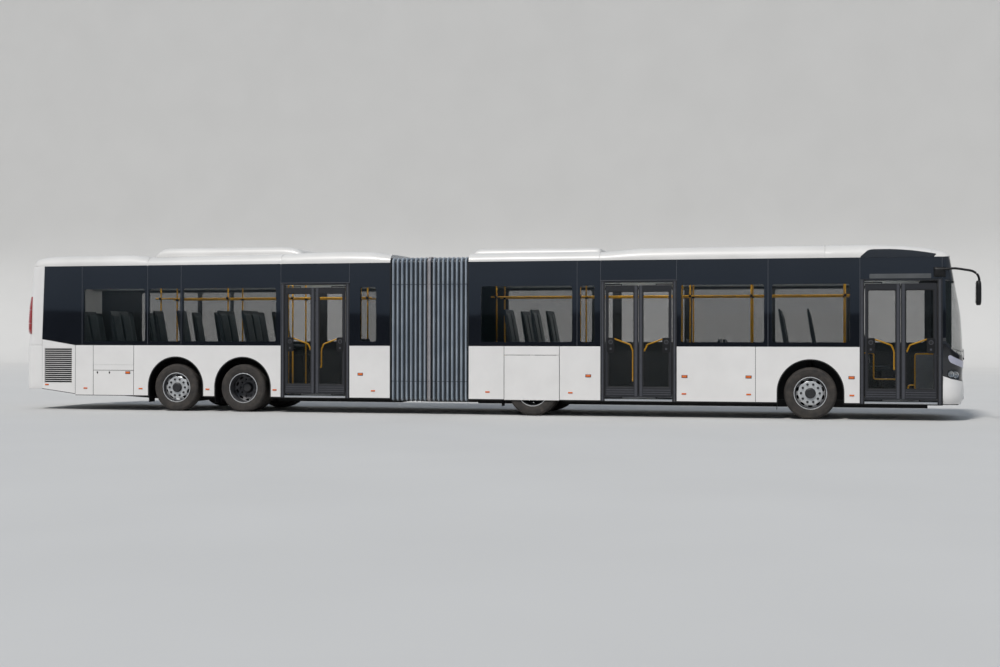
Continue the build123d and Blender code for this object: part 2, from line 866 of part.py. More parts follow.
# Steering knuckles: a pin through the boss, a lug above and below it, and the wheel's spindle
knuckle_plate = 26
knuckle_half_x = 52
lug_z = king_boss_half + knuckle_gap
plate_y = king_pin_y + king_boss_radius + knuckle_gap
for name, axle_x, side in (
    ("knuckle_1_right", axle_1_x, -1),
    ("knuckle_1_left", axle_1_x, 1),
    ("knuckle_4_right", axle_4_x, -1),
    ("knuckle_4_left", axle_4_x, 1),
):
    with BuildPart() as knuckle:
        with BuildSketch(Plane.XY.offset(tyre_radius - lug_z - king_lug)):
            with Locations((axle_x, side * king_pin_y)):
                Circle(king_pin_radius)
        extrude(amount=2 * (lug_z + king_lug))
        for bottom in (-lug_z - king_lug, lug_z):
            with BuildSketch(Plane.XY.offset(tyre_radius + bottom)):
                with Locations((axle_x, side * king_pin_y)):
                    Circle(knuckle_half_x)
                with Locations((axle_x, side * (king_pin_y + plate_y) / 2)):
                    Rectangle(2 * knuckle_half_x, plate_y - king_pin_y)
            extrude(amount=king_lug)
        with BuildSketch(wheel_plane(axle_x, side, plate_y)):
            Rectangle(2 * knuckle_half_x, 2 * (lug_z + king_lug))
        extrude(amount=knuckle_plate)
        with BuildSketch(wheel_plane(axle_x, side, plate_y + knuckle_plate)):
            Circle(spindle_radius)
        extrude(amount=single_spindle_end - plate_y - knuckle_plate)
    save(knuckle.part, name)

# Wheels: tyres and rim on one hub, turned about the axle
bead_half = 105
rim_half = 118
flange = 6
rim_sheet = 13
disc_sheet = 14
disc_inner_radius = 95
single_disc_in = 62
nut_circle_radius = 167.5
nut_count = 10
nut_hole_radius = 13
hand_hole_radius = 24
hand_hole_circle = 228
tyre_outline = [
    (bead_half, tyre_bore),
    (tyre_width / 2, 375),
    (tyre_width / 2 - 16, 458),
    (95, tyre_radius),
]


def radial_plane(axle_x, side, y):
    """The plane of a wheel's half outline: first axis outwards, second axis up the radius."""
    return Plane(origin=(axle_x, side * y, tyre_radius), x_dir=(0, side, 0), z_dir=(side, 0, 0))


def turned(axle_x, side, y, points):
    """A ring turned about the axle from an outline of places outwards and radii."""
    with BuildSketch(radial_plane(axle_x, side, y)) as face:
        with BuildLine():
            Polyline(*points, close=True)
        make_face()
    revolve(face.sketch, axis=Axis((axle_x, 0, tyre_radius), (0, 1, 0)))


def barrel(axle_x, side, y):
    """The rim's barrel with a flange on each edge."""
    inner = tyre_bore - rim_sheet
    outline = [
        (rim_half, inner),
        (rim_half, rim_radius),
        (rim_half - flange, rim_radius),
        (rim_half - flange, tyre_bore),
    ]
    other_half = [(-u, r) for u, r in reversed(outline)]
    turned(axle_x, side, y, outline + other_half)


def single_wheel(axle_x, side):
    """A steered wheel: a disc that stands out, on a hub with a cap."""
    barrel(axle_x, side, wheel_y)
    inner = tyre_bore - rim_sheet + 1
    turned(
        axle_x,
        side,
        wheel_y,
        [
            (10, inner),
            (10 + 2 * disc_sheet, inner),
            (single_disc_in + disc_sheet, 215),
            (single_disc_in + disc_sheet, disc_inner_radius),
            (single_disc_in, disc_inner_radius),
            (single_disc_in, 205),
        ],
    )
    turned(
        axle_x,
        side,
        wheel_y,
        [
            (single_hub_in, spindle_radius + spindle_play),
            (single_hub_in, hub_radius),
            (single_disc_in + 1, hub_radius),
            (single_disc_in + 1, disc_inner_radius + 1),
            (single_hub_out, disc_inner_radius + 1),
            (single_hub_out + 20, disc_inner_radius - 12),
            (single_hub_out + 20, 0),
            (single_hub_out - cap_sheet, 0),
            (single_hub_out - cap_sheet, spindle_radius + spindle_play),
        ],
    )
    with BuildSketch(wheel_plane(axle_x, side, wheel_y + single_disc_in)) as holes:
        with PolarLocations(nut_circle_radius, nut_count):
            Circle(nut_hole_radius)
    extrude(holes.sketch, amount=disc_sheet, mode=Mode.SUBTRACT)
    with BuildSketch(wheel_plane(axle_x, side, wheel_y)) as holes:
        with PolarLocations(hand_hole_circle, nut_count, start_angle=180 / nut_count):
            Circle(hand_hole_radius)
    extrude(holes.sketch, amount=single_disc_in + disc_sheet, mode=Mode.SUBTRACT)


def twin_wheel(axle_x, side):
    """A pair of wheels bolted back to back on one hub, the outer one deep."""
    for y in (wheel_y, wheel_y - twin_spacing):
        barrel(axle_x, side, y)
    inner = tyre_bore - rim_sheet + 1
    reach = twin_spacing / 2 - rim_half
    outline = [
        (disc_sheet, hub_radius - 1),
        (disc_sheet, 210),
        (reach + 30, inner),
        (reach + 2, inner),
        (1, 225),
    ]
    other_half = [(-u, r) for u, r in reversed(outline)]
    turned(axle_x, side, twin_mid_y, outline + other_half)
    turned(
        axle_x,
        side,
        twin_mid_y,
        [
            (-twin_hub_in, spindle_radius + spindle_play),
            (-twin_hub_in, hub_radius),
            (twin_hub_out - 40, hub_radius),
            (twin_hub_out - 40, disc_inner_radius),
            (twin_hub_out, disc_inner_radius),
            (twin_hub_out, 0),
            (twin_hub_out - cap_sheet, 0),
            (twin_hub_out - cap_sheet, spindle_radius + spindle_play),
        ],
    )


for axle_name, axle_x, twin in (
    ("wheel_1", axle_1_x, False),
    ("wheel_2", axle_2_x, True),
    ("wheel_3", axle_3_x, True),
    ("wheel_4", axle_4_x, False),
):
    for side_name, side in (("right", -1), ("left", 1)):
        with BuildPart() as rim:
            if twin:
                twin_wheel(axle_x, side)
            else:
                single_wheel(axle_x, side)
        pieces = [rim.part]
        for y in (wheel_y, wheel_y - twin_spacing)[: 1 + twin]:
            with BuildPart() as rubber:
                right = tyre_outline
                left = [(-u, r) for u, r in reversed(tyre_outline)]
                turned(axle_x, side, y, right + left)
            pieces.append(rubber.part)
        save(Compound(children=pieces), f"{axle_name}_{side_name}")

# Doors: each leaf with its window, and the post with two arms that swings it
leaf_outer_frame = 45
leaf_meeting_frame = 75
leaf_top_frame = 110
leaf_bottom_frame = 185
leaf_pane = 8
pin_radius = 8
arm_low_z = floor_z + 8
arm_high_z = leaf_top_z + 10
leaf_lug = 14
lug_half = 15
leaf_in_y = leaf_y - leaf_thickness / 2

for door_name, door_x in (("door_1", door_1_x), ("door_2", door_2_x), ("door_3", door_3_x)):
    for leaf_name, way in (("front", 1), ("rear", -1)):
        post_x = door_x + way * leaf_span
        swing_x = door_x + way * arm_length
        edges = (door_x + way * leaf_meeting_gap, door_x + way * (leaf_meeting_gap + leaf_width))
        with BuildPart() as leaf:
            with BuildSketch(Plane.XZ.offset(leaf_in_y)):
                wall_face((min(edges), max(edges)), (leaf_bottom_z, leaf_top_z), -1)
            extrude(amount=leaf_thickness)
            light = (edges[0] + way * leaf_meeting_frame, edges[1] - way * leaf_outer_frame)
            light_z = (leaf_bottom_z + leaf_bottom_frame, leaf_top_z - leaf_top_frame)
            recess = (leaf_thickness - leaf_pane) / 2
            for start_y in (leaf_in_y, leaf_in_y + leaf_thickness - recess):
                with BuildSketch(Plane.XZ.offset(start_y)):
                    wall_face((min(light), max(light)), light_z, -1)
                extrude(amount=recess, mode=Mode.SUBTRACT)
            for z_ends in (
                (leaf_bottom_z, leaf_bottom_z + leaf_lug),
                (leaf_top_z - leaf_lug, leaf_top_z),
            ):
                slab((swing_x - lug_half, swing_x + lug_half), (-leaf_in_y, -post_y + lug_half), z_ends)
            for low, high in ((arm_low_z, leaf_bottom_z), (leaf_top_z, arm_high_z + arm_height)):
                with BuildSketch(Plane.XY.offset(low)):
                    with Locations((swing_x, -post_y)):
                        Circle(pin_radius)
                extrude(amount=high - low)
        save(leaf.part, f"{door_name}_{leaf_name}_leaf")
        with BuildPart() as post:
            with BuildSketch(Plane.XY.offset(floor_z)):
                with Locations((post_x, -post_y)):
                    Circle(post_radius)
            extrude(amount=doorway_top_z - floor_z)
            for z in (arm_low_z, arm_high_z):
                with BuildSketch(Plane.XY.offset(z)):
                    with Locations(((post_x + swing_x) / 2, -post_y)):
                        SlotCenterToCenter(arm_length, arm_width)
                    with Locations((swing_x, -post_y)):
                        Circle(pin_radius + spindle_play, mode=Mode.SUBTRACT)
                extrude(amount=arm_height)
        save(post.part, f"{door_name}_{leaf_name}_post")

# Turntable: a bearing ring on the front section, a floor disc with its hub on the rear one
ring_bottom_z = 215
with BuildPart() as turntable_lower:
    with BuildSketch(Plane.XY.offset(ring_bottom_z)):
        with Locations((pivot_x, 0)):
            Circle(bearing_outer)
        with Locations(((pivot_x + front_back_x) / 2, 0)):
            Rectangle(front_back_x - pivot_x, 2 * bearing_outer)
        with Locations((pivot_x, 0)):
            Circle(bearing_bore + bearing_play, mode=Mode.SUBTRACT)
    extrude(amount=floor_bottom_z - ring_bottom_z)
    with BuildSketch(Plane.XY.offset(floor_bottom_z)):
        with Locations(((pivot_x + front_back_x) / 2, 0)):
            Rectangle(front_back_x - pivot_x, 2 * gangway_half)
        with Locations((pivot_x, 0)):
            Circle(disc_radius + bearing_play, mode=Mode.SUBTRACT)
    extrude(amount=floor_z - floor_bottom_z)
save(turntable_lower.part, "turntable_lower")

with BuildPart() as turntable_upper:
    with BuildSketch(Plane.XY.offset(floor_bottom_z + bearing_play)):
        with Locations((pivot_x, 0)):
            Circle(disc_radius)
        with Locations(((pivot_x + rear_front_x) / 2, 0)):
            Rectangle(pivot_x - rear_front_x, 2 * gangway_half)
    extrude(amount=floor_plate - bearing_play)
    with BuildSketch(Plane.XY.offset(ring_bottom_z)):
        with Locations((pivot_x, 0)):
            Circle(bearing_bore)
    extrude(amount=floor_bottom_z + bearing_play - ring_bottom_z)
save(turntable_upper.part, "turntable_upper")

# Bellows: an upturned U of folds between the two end frames
bellows_back_x = pivot_x - bellows_length / 2
bellows_inner_half = half_width - bellows_depth
bellows_inner_z = bellows_top_z - bellows_roof_depth
fold_pitch = bellows_length / folds


def bellows_ring(x_ends, inset):
    """One length of the bellows' upturned U."""
    top = bellows_top_z - inset
    outer = half_width - inset
    with BuildSketch(Plane(origin=(x_ends[0], 0, 0), x_dir=(0, 1, 0), z_dir=(1, 0, 0))) as face:
        with Locations((0, (bellows_bottom_z + top) / 2)):
            Rectangle(2 * outer, top - bellows_bottom_z)
        with Locations((0, bellows_inner_z / 2)):
            Rectangle(2 * bellows_inner_half, bellows_inner_z, mode=Mode.SUBTRACT)
    extrude(face.sketch, amount=x_ends[1] - x_ends[0])


with BuildPart() as bellows:
    bellows_ring((bellows_back_x - end_frame, bellows_back_x + bellows_length + end_frame), fold_depth)
    for number in range(folds):
        fold_x = bellows_back_x + number * fold_pitch
        bellows_ring((fold_x + 0.2 * fold_pitch, fold_x + 0.8 * fold_pitch), 0)
save(bellows.part, "bellows")

# Seats: one outline for cushion, back and foot, as benches on each side
cushion_height = 430
box_cushion_height = 220
cushion_depth = 430
cushion_thickness = 90
cushion_rise = 10
foot_start = 110
foot_end = 320
back_height = 700
back_lean = 90
back_foot = 60
back_thickness = 35


def seat(x, base_z, rise, y_ends, facing):
    """A bench: x is the cushion's rear edge, facing is 1 forwards or -1 backwards."""
    cushion_z = base_z + rise
    pan_z = cushion_z - cushion_thickness
    top_z = cushion_z + back_height
    with BuildSketch(Plane.XZ.offset(-y_ends[0])) as face:
        with BuildLine():
            Polyline(
                (x, pan_z),
                (x + facing * foot_start, pan_z),
                (x + facing * foot_start, base_z),
                (x + facing * foot_end, base_z),
                (x + facing * foot_end, pan_z),
                (x + facing * cushion_depth, pan_z + cushion_thickness / 3),
                (x + facing * cushion_depth, cushion_z + cushion_rise),
                (x + facing * back_foot, cushion_z),
                (x - facing * back_foot, top_z - back_foot),
                (x - facing * back_lean, top_z),
                (x - facing * (back_lean + back_thickness), top_z - back_thickness / 2),
                close=True,
            )
        make_face()
    extrude(face.sketch, amount=-(y_ends[1] - y_ends[0]))


box_top_z = tyre_radius + arch_lift + arch_radius + wheel_box_sheet
aisle_half = 420
bench_wall_gap = 20
bench_ends = (aisle_half, inner_half - bench_wall_gap)
high_bench_ends = (single_box_half + bench_wall_gap / 4, inner_half - bench_wall_gap)
on_box = 60
row_pitch = 520
deck_pitch = 750

# Seat rows: columns are x, base height, cushion height, y ends on one side, sides
both = (-1, 1)
on_box_1 = (box_top_z, box_cushion_height, high_bench_ends, both)
on_box_2 = (box_top_z, box_cushion_height, bench_ends, both)
on_floor = (floor_z, cushion_height, bench_ends, both)
on_deck = (deck_z, cushion_height, bench_ends, both)
deck_row_x = deck_x - cushion_depth - on_box
front_rows = [
    (axle_1_x + on_box, *on_box_1),
    (axle_1_x + on_box - row_pitch, *on_box_1),
    (axle_2_x + on_box, *on_box_2),
    (axle_2_x + on_box - row_pitch, *on_box_2),
    (door_2_x + 2 * aisle_half, floor_z, cushion_height, bench_ends, (1,)),
    (door_2_x + 2 * aisle_half + deck_pitch, *on_floor),
]
rear_rows = [
    (axle_3_x + on_box, *on_box_2),
    (axle_3_x + on_box - row_pitch, *on_box_2),
    (axle_4_x + on_box, *on_box_1),
    (axle_4_x + on_box - row_pitch, *on_box_1),
    (deck_row_x, *on_deck),
    (deck_row_x - deck_pitch, *on_deck),
    (deck_row_x - 2 * deck_pitch, *on_deck),
    (door_3_x + door_frame_half + 2 * back_lean + on_box, *on_floor),
]


def seats(rows):
    """Every bench of a section, each a solid of its own, all facing forwards."""
    for x, base_z, rise, y_ends, sides in rows:
        for side in sides:
            ends = y_ends if side > 0 else (-y_ends[1], -y_ends[0])
            seat(x, base_z, rise, ends, 1)


with BuildPart() as front_seats:
    seats(front_rows)
save(front_seats.part, "front_seats")

with BuildPart() as rear_seats:
    seats(rear_rows)
save(rear_seats.part, "rear_seats")

# Handrails: uprights from floor to ceiling with a rail beside them, and a guard by each door
handrail_radius = 16
handrail_z = 2300
handrail_y = 380
guard_from_door = 770
guard_sheet = 20
guard_z = (floor_z + 180, floor_z + 1060)
guard_end_y = inner_half - panel_gap
guard_post_y = 720


def upright_rail(x, y, low, high):
    """An upright stanchion."""
    with BuildSketch(Plane.XY.offset(low)) as face:
        with Locations((x, y)):
            Circle(handrail_radius)
    extrude(face.sketch, amount=high - low)


def long_rail(x_ends, y, z):
    """A rail along the bus."""
    with BuildSketch(Plane(origin=(x_ends[0], y, z), x_dir=(0, 1, 0), z_dir=(1, 0, 0))) as face:
        Circle(handrail_radius)
    extrude(face.sketch, amount=x_ends[1] - x_ends[0])


def handrails(places, guards):
    """Both rows of uprights with their rails, and the door guards on the right."""
    rail_side_y = handrail_y + 2 * handrail_radius + panel_gap
    for side in (-1, 1):
        long_rail((min(places) - 100, max(places) + 100), side * rail_side_y, handrail_z)
        for x in places:
            upright_rail(x, side * handrail_y, floor_z, ceiling_z)
    for x in guards:
        upright_rail(x, -guard_post_y, floor_z, ceiling_z)
        inner_y = guard_post_y + handrail_radius + panel_gap
        slab((x - guard_sheet / 2, x + guard_sheet / 2), (-guard_end_y, -inner_y), guard_z)


front_stanchions = [
    axle_2_x - 900,
    axle_2_x + 780,
    door_2_x + door_frame_half + 2 * back_lean,
    axle_1_x - 1100,
    axle_1_x + 640,
]
rear_stanchions = [
    door_3_x + door_frame_half + back_lean,
    door_3_x - door_frame_half - back_lean,
    axle_3_x - 700,
    axle_4_x - 760,
]
with BuildPart() as front_handrails:
    guards = [door_2_x - guard_from_door, door_2_x + guard_from_door, door_1_x - guard_from_door]
    handrails(front_stanchions, guards)
save(front_handrails.part, "front_handrails")

with BuildPart() as rear_handrails:
    handrails(rear_stanchions, [door_3_x - guard_from_door, door_3_x + guard_from_door])
save(rear_handrails.part, "rear_handrails")

# Driver's place on the left: dash with the steering wheel, seat, and the wall behind the driver
driver_y = 680
cab_wall_x = axle_1_x + 760
cab_wall_sheet = 40
cab_wall_width = 1000
cab_wall_height = 1500
dash_x = nose_seam_x - 60
dash_depth = 260
dash_ends = (170, inner_half - 125)
dash_top_z = 1120
dash_edge_z = 1060
dash_lip_z = 900
steering_radius = 230
steering_ring = 30
column_rake = 30
column_radius = 35
column_length = 150
driver_seat_rise = 180
driver_seat_half = 240
with BuildPart() as driver_cab:
    with BuildSketch(Plane.XZ.offset(-dash_ends[0])):
        with BuildLine():
            Polyline(
                (dash_x, floor_z),
                (dash_x + dash_depth, floor_z),
                (dash_x + dash_depth, dash_top_z - dash_depth / 2),
                (dash_x + dash_depth / 2, dash_top_z),
                (dash_x - dash_depth / 6, dash_edge_z),
                (dash_x - dash_depth / 26, dash_lip_z),
                close=True,
            )
        make_face()
    extrude(amount=dash_ends[0] - dash_ends[1])
    column = Plane(
        origin=(dash_x, driver_y, dash_edge_z - 40),
        x_dir=(0, 1, 0),
        z_dir=(-sin(radians(column_rake)), 0, cos(radians(column_rake))),
    )
    with BuildSketch(column):
        Circle(column_radius)
    extrude(amount=column_length)
    with BuildSketch(column.offset(column_length - 20)):
        Circle(steering_radius)
        Circle(steering_radius - steering_ring, mode=Mode.SUBTRACT)
        Rectangle(2 * steering_radius - steering_ring, 40)
    extrude(amount=steering_ring)
    with BuildSketch(Plane.XY.offset(floor_z)):
        with Locations((cab_wall_x + cab_wall_sheet / 2, driver_y)):
            Rectangle(cab_wall_sheet, cab_wall_width)
    extrude(amount=cab_wall_height)
    seat_x = cab_wall_x + cushion_depth - 100
    seat_z = floor_z + driver_seat_rise
    seat_ends = (driver_y - driver_seat_half, driver_y + driver_seat_half)
    seat(seat_x, seat_z, cushion_height, seat_ends, 1)
    base_half = driver_seat_half - 40
    slab(
        (seat_x + back_foot, seat_x + cushion_depth - 70),
        (driver_y - base_half, driver_y + base_half),
        (floor_z, seat_z),
    )
save(driver_cab.part, "driver_cab")

# Mirrors: a bracket on each side wall, an arm forwards and a head hanging from it
head_depth = 90
head_half = 110
head_out = 60
head_x = front_x + mirror_reach - head_depth
head_z = (2050, 2520)
arm_z = (2625, 2665)
arm_half = 20
bracket_ends = (nose_seam_x - 130, nose_seam_x - 8)
bracket_z = (2590, 2750)
bracket_depth = 35
mirror_y = half_width + head_out
with BuildPart() as mirrors:
    for side in (-1, 1):
        y = side * mirror_y
        slab((head_x, head_x + head_depth), (y - head_half, y + head_half), head_z)
        slab(
            (head_x + arm_half, head_x + 3 * arm_half),
            (y - arm_half, y + arm_half),
            (head_z[1] - arm_half, arm_z[1]),
        )
        slab(bracket_ends, (side * half_width, side * (half_width + bracket_depth)), bracket_z)
        with BuildSketch(Plane.XY.offset(arm_z[0])):
            with BuildLine():
                Polyline(
                    (bracket_ends[0] + 2 * arm_half, side * (half_width + 5)),
                    (bracket_ends[1], side * (half_width + 5)),
                    (head_x + 3 * arm_half, y - side * arm_half),
                    (head_x + 3 * arm_half, y + side * arm_half),
                    (bracket_ends[0] + 2 * arm_half, side * (half_width + bracket_depth)),
                    close=True,
                )
            make_face()
        extrude(amount=arm_z[1] - arm_z[0])
save(mirrors.part, "mirrors")

# Lamps: lenses on the skin, headlamps at the mask's corners and tail lamps up the rear corners
lamp_depth = 12
headlamp_z = (690, 850)
headlamp_back = 140
headlamp_inner = 0.6 * half_width
tail_lamp_z = (1570, 2280)
tail_lamp_inner = half_width - 225
tail_lamp_reach = 180
beyond = half_width + 2 * lamp_depth
with BuildPart() as headlamps:
    nose(-lamp_depth, skirt_z, windscreen_bottom_z)
    nose(0, skirt_z, windscreen_bottom_z, Mode.SUBTRACT)
    outside_z = [(skirt_z - 1, headlamp_z[0]), (headlamp_z[1], windscreen_bottom_z + 1)]
    for z_ends in outside_z:
        slab((nose_seam_x - 1, front_x + 2 * lamp_depth), (-beyond, beyond), z_ends, Mode.SUBTRACT)
    slab(
        (nose_seam_x - 1, front_x + 2 * lamp_depth),
        (-headlamp_inner, headlamp_inner),
        (skirt_z, windscreen_bottom_z),
        Mode.SUBTRACT,
    )
    slab(
        (nose_seam_x - 1, nose_seam_x + headlamp_back),
        (-beyond, beyond),
        (skirt_z, windscreen_bottom_z),
        Mode.SUBTRACT,
    )
save(headlamps.part, "headlamps")

with BuildPart() as tail_lamps:
    tail(-lamp_depth, belt_z, band_top_z)
    tail(0, belt_z, band_top_z, Mode.SUBTRACT)
    outside_z = [(belt_z - 1, tail_lamp_z[0]), (tail_lamp_z[1], band_top_z + 1)]
    for z_ends in outside_z:
        slab((rear_x - 2 * lamp_depth, tail_seam_x + 1), (-beyond, beyond), z_ends, Mode.SUBTRACT)
    slab(
        (rear_x - 2 * lamp_depth, tail_seam_x + 1),
        (-tail_lamp_inner, tail_lamp_inner),
        (belt_z, band_top_z),
        Mode.SUBTRACT,
    )
    slab(
        (rear_x + tail_lamp_reach, tail_seam_x + 1),
        (-beyond, beyond),
        (belt_z, band_top_z),
        Mode.SUBTRACT,
    )
save(tail_lamps.part, "tail_lamps")
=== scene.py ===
# %% [markdown]
# # An articulated city bus, dressed for the studio
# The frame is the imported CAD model: its bodies, joints and sizes stay as they are. Here every
# surface that the eye meets gets its real form and finish. Shapes are worked out with numpy as
# whole arrays, put into meshes, and set on the CAD bodies.

# %% Load the frame
from math import cos, radians, sin

import bmesh
import bpy
import numpy as np
from mathutils import Matrix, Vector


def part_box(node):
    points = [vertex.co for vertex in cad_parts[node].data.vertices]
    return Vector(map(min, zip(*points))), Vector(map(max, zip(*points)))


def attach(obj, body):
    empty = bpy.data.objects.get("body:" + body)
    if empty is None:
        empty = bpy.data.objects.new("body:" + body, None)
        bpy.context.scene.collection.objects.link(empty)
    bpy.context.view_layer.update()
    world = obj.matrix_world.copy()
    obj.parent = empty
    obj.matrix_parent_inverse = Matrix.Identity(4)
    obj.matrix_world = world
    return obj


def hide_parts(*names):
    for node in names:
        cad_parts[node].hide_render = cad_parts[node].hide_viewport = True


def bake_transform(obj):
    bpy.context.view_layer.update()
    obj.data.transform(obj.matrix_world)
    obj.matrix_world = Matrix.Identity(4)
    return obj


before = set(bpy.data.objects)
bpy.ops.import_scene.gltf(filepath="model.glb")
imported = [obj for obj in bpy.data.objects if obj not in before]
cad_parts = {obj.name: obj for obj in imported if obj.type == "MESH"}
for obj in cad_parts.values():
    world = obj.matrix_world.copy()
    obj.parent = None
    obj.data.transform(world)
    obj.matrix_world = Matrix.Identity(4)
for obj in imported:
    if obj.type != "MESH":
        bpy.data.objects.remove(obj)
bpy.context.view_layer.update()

# %% [markdown]
# ## Sizes
# The bus's own lengths, in metres, as the CAD source names them. X runs forward, Y to the left
# and Z up, so the side that faces the camera has a negative Y.

# %% Sizes
front_x, rear_x = 9.275, -9.475
half_width, wall, glass = 1.275, 0.050, 0.006
inner_half = half_width - wall
skirt_z, rear_skirt_z, tail_rise = 0.300, 0.425, 0.960
floor_z = 0.340
belt_z, band_top_z = 1.329, 2.957
window_z = (1.410, 2.480)
doorway_top_z = 2.530
axles = {1: 6.501, 2: 1.317, 3: -4.596, 4: -6.043}
doors = {"door_1": 8.0935, "door_2": 3.3465, "door_3": -3.0675}
front_back_x, rear_front_x, pivot_x = 0.062, -1.517, -0.7275
nose_seam_x, tail_seam_x = 8.822, -9.030
tyre_radius, wheel_y, twin_spacing = 0.4785, 1.112, 0.315
arch_radius, arch_centre_z = 0.600, 0.5005
door_frame_half, doorway_half = 0.715, 0.637
door_back = {name: x - door_frame_half for name, x in doors.items()}
door_front = {name: x + door_frame_half for name, x in doors.items()}
sides = {"right": -1, "left": 1}
print("body", front_x - rear_x, "m long and", 2 * half_width, "m wide")

# %% [markdown]
# ## Colours and nodes
# Colours are written as they are read on a screen, in sRGB hex, and one function turns them to
# the linear values that shaders use. One more function adds a node with its settings and links.

# %% Colour and node helpers


def linear(hex_colour):
    """sRGB hex to linear: a channel over 0.04045 is ((c + 0.055) / 1.055) to the power 2.4."""
    srgb = np.array([int(hex_colour[start:start + 2], 16) for start in (1, 3, 5)]) / 255
    values = np.where(srgb <= 0.04045, srgb / 12.92, ((srgb + 0.055) / 1.055) ** 2.4)
    return (*[float(value) for value in values], 1.0)


def add(tree, kind, settings=None, links=None):
    """Adds a node: settings go to its inputs or properties, links join its inputs to outputs."""
    node = tree.nodes.new(kind)
    for name, value in (settings or {}).items():
        if isinstance(name, int) or name in node.inputs:
            node.inputs[name].default_value = value
        else:
            setattr(node, name, value)
    for name, socket in (links or {}).items():
        tree.links.new(node.inputs[name], socket)
    return node


def new_material(name, sockets=None):
    """An empty material: its tree, its shader and the object's own coordinates."""
    material = bpy.data.materials.new(name)
    material.use_nodes = True
    tree = material.node_tree
    shader = tree.nodes["Principled BSDF"]
    for socket, value in (sockets or {}).items():
        shader.inputs[socket].default_value = value
    place = add(tree, "ShaderNodeTexCoord")
    return material, tree, shader, place.outputs["Object"]


def ramp(tree, factor, stops):
    """A colour ramp from stops of place and colour."""
    node = add(tree, "ShaderNodeValToRGB", links={"Fac": factor})
    elements = node.color_ramp.elements
    while len(elements) < len(stops):
        elements.new(0.5)
    for element, (position, colour) in zip(elements, stops):
        element.position = position
        element.color = colour
    return node.outputs["Color"]


fine_grain = (1200, 0.0002, 0.2)


def mottled(name, colours, scale, roughness, sockets=None, grain=fine_grain, detail=4.0,
            stops=(0.3, 0.7)):
    """A finish whose colour wanders between close tones, with its own gloss and fine grain.

    scale is in spots per metre. roughness is the pair that the gloss wanders between. grain is
    the bump's spots per metre, its depth in metres and its strength. stops are the noise values
    at which each colour is pure.
    """
    material, tree, shader, place = new_material(name, sockets)
    spots = add(tree, "ShaderNodeTexNoise", {"Scale": scale, "Detail": detail}, {"Vector": place})
    tone = ramp(tree, spots.outputs["Fac"],
                [(at, linear(tint)) for at, tint in zip(stops, colours)])
    tree.links.new(shader.inputs["Base Color"], tone)
    wear = add(tree, "ShaderNodeMapRange", {"To Min": roughness[0], "To Max": roughness[1]},
               {"Value": spots.outputs["Fac"]})
    tree.links.new(shader.inputs["Roughness"], wear.outputs["Result"])
    fine = add(tree, "ShaderNodeTexNoise", {"Scale": grain[0], "Detail": 3.0}, {"Vector": place})
    relief = add(tree, "ShaderNodeBump", {"Distance": grain[1], "Strength": grain[2]},
                 {"Height": fine.outputs["Fac"]})
    tree.links.new(shader.inputs["Normal"], relief.outputs["Normal"])
    return material
print("mid grey in linear light", round(linear("#808080")[0], 3))

# %% [markdown]
# ## Finishes
# The body is two-pack enamel over aluminium and glass-fibre panels: white, glossy, with a faint
# orange peel of 3 mm that a coarse noise bump gives. The roof carries the same enamel in a greyer,
# rougher tone. The band is tempered glass with a black ceramic print on its back: nearly black,
# mirror smooth, and a wave of a metre bends what it mirrors.
# Real flat colours are never quite even, so each finish wanders between two close tones.

# %% Painted and printed finishes
white_enamel = mottled(
    "white_enamel", ("#d8d6d4", "#dedcda"), 2.2, (0.26, 0.36),
    {"Coat Weight": 0.4, "Coat Roughness": 0.08}, (300, 0.0003, 0.04))
roof_enamel = mottled(
    "roof_enamel", ("#cac8c5", "#d3d1ce"), 1.4, (0.34, 0.48),
    {"Coat Weight": 0.2, "Coat Roughness": 0.15}, (300, 0.0004, 0.05))
black_print = mottled(
    "ceramic_printed_glass", ("#13161b", "#171a20"), 0.8, (0.02, 0.04),
    {"IOR": 1.5, "Coat Weight": 0.7, "Coat Roughness": 0.01}, (0.9, 0.004, 0.025), detail=1.0)
gloss_black = mottled("gloss_black_mask", ("#0c0d11", "#12141a"), 3, (0.08, 0.14),
                      {"Coat Weight": 0.6}, (500, 0.0002, 0.05))
silver_lacquer = mottled("silver_lacquer", ("#b2b2c2", "#bebecd"), 5, (0.25, 0.35),
                         {"Metallic": 0.4, "Coat Weight": 0.5}, (1200, 0.0002, 0.1))
chassis_paint = mottled("chassis_paint", ("#0f0f11", "#1c1a18"), 9, (0.6, 0.85), None,
                        (250, 0.0008, 0.4))
wall_primer = mottled("dark_grey_primer", ("#2a2c2f", "#34363a"), 15, (0.6, 0.75), None,
                      (900, 0.0002, 0.2))
print("paints made")

# %% [markdown]
# Powder coat is a sprayed plastic that is baked on, and it keeps a grain of under a millimetre:
# it is dull black on the door frames and bright yellow on the rails. Extruded and brushed
# aluminium keep their metal look under a thin haze. Cast iron is rough, brown where it rusts.

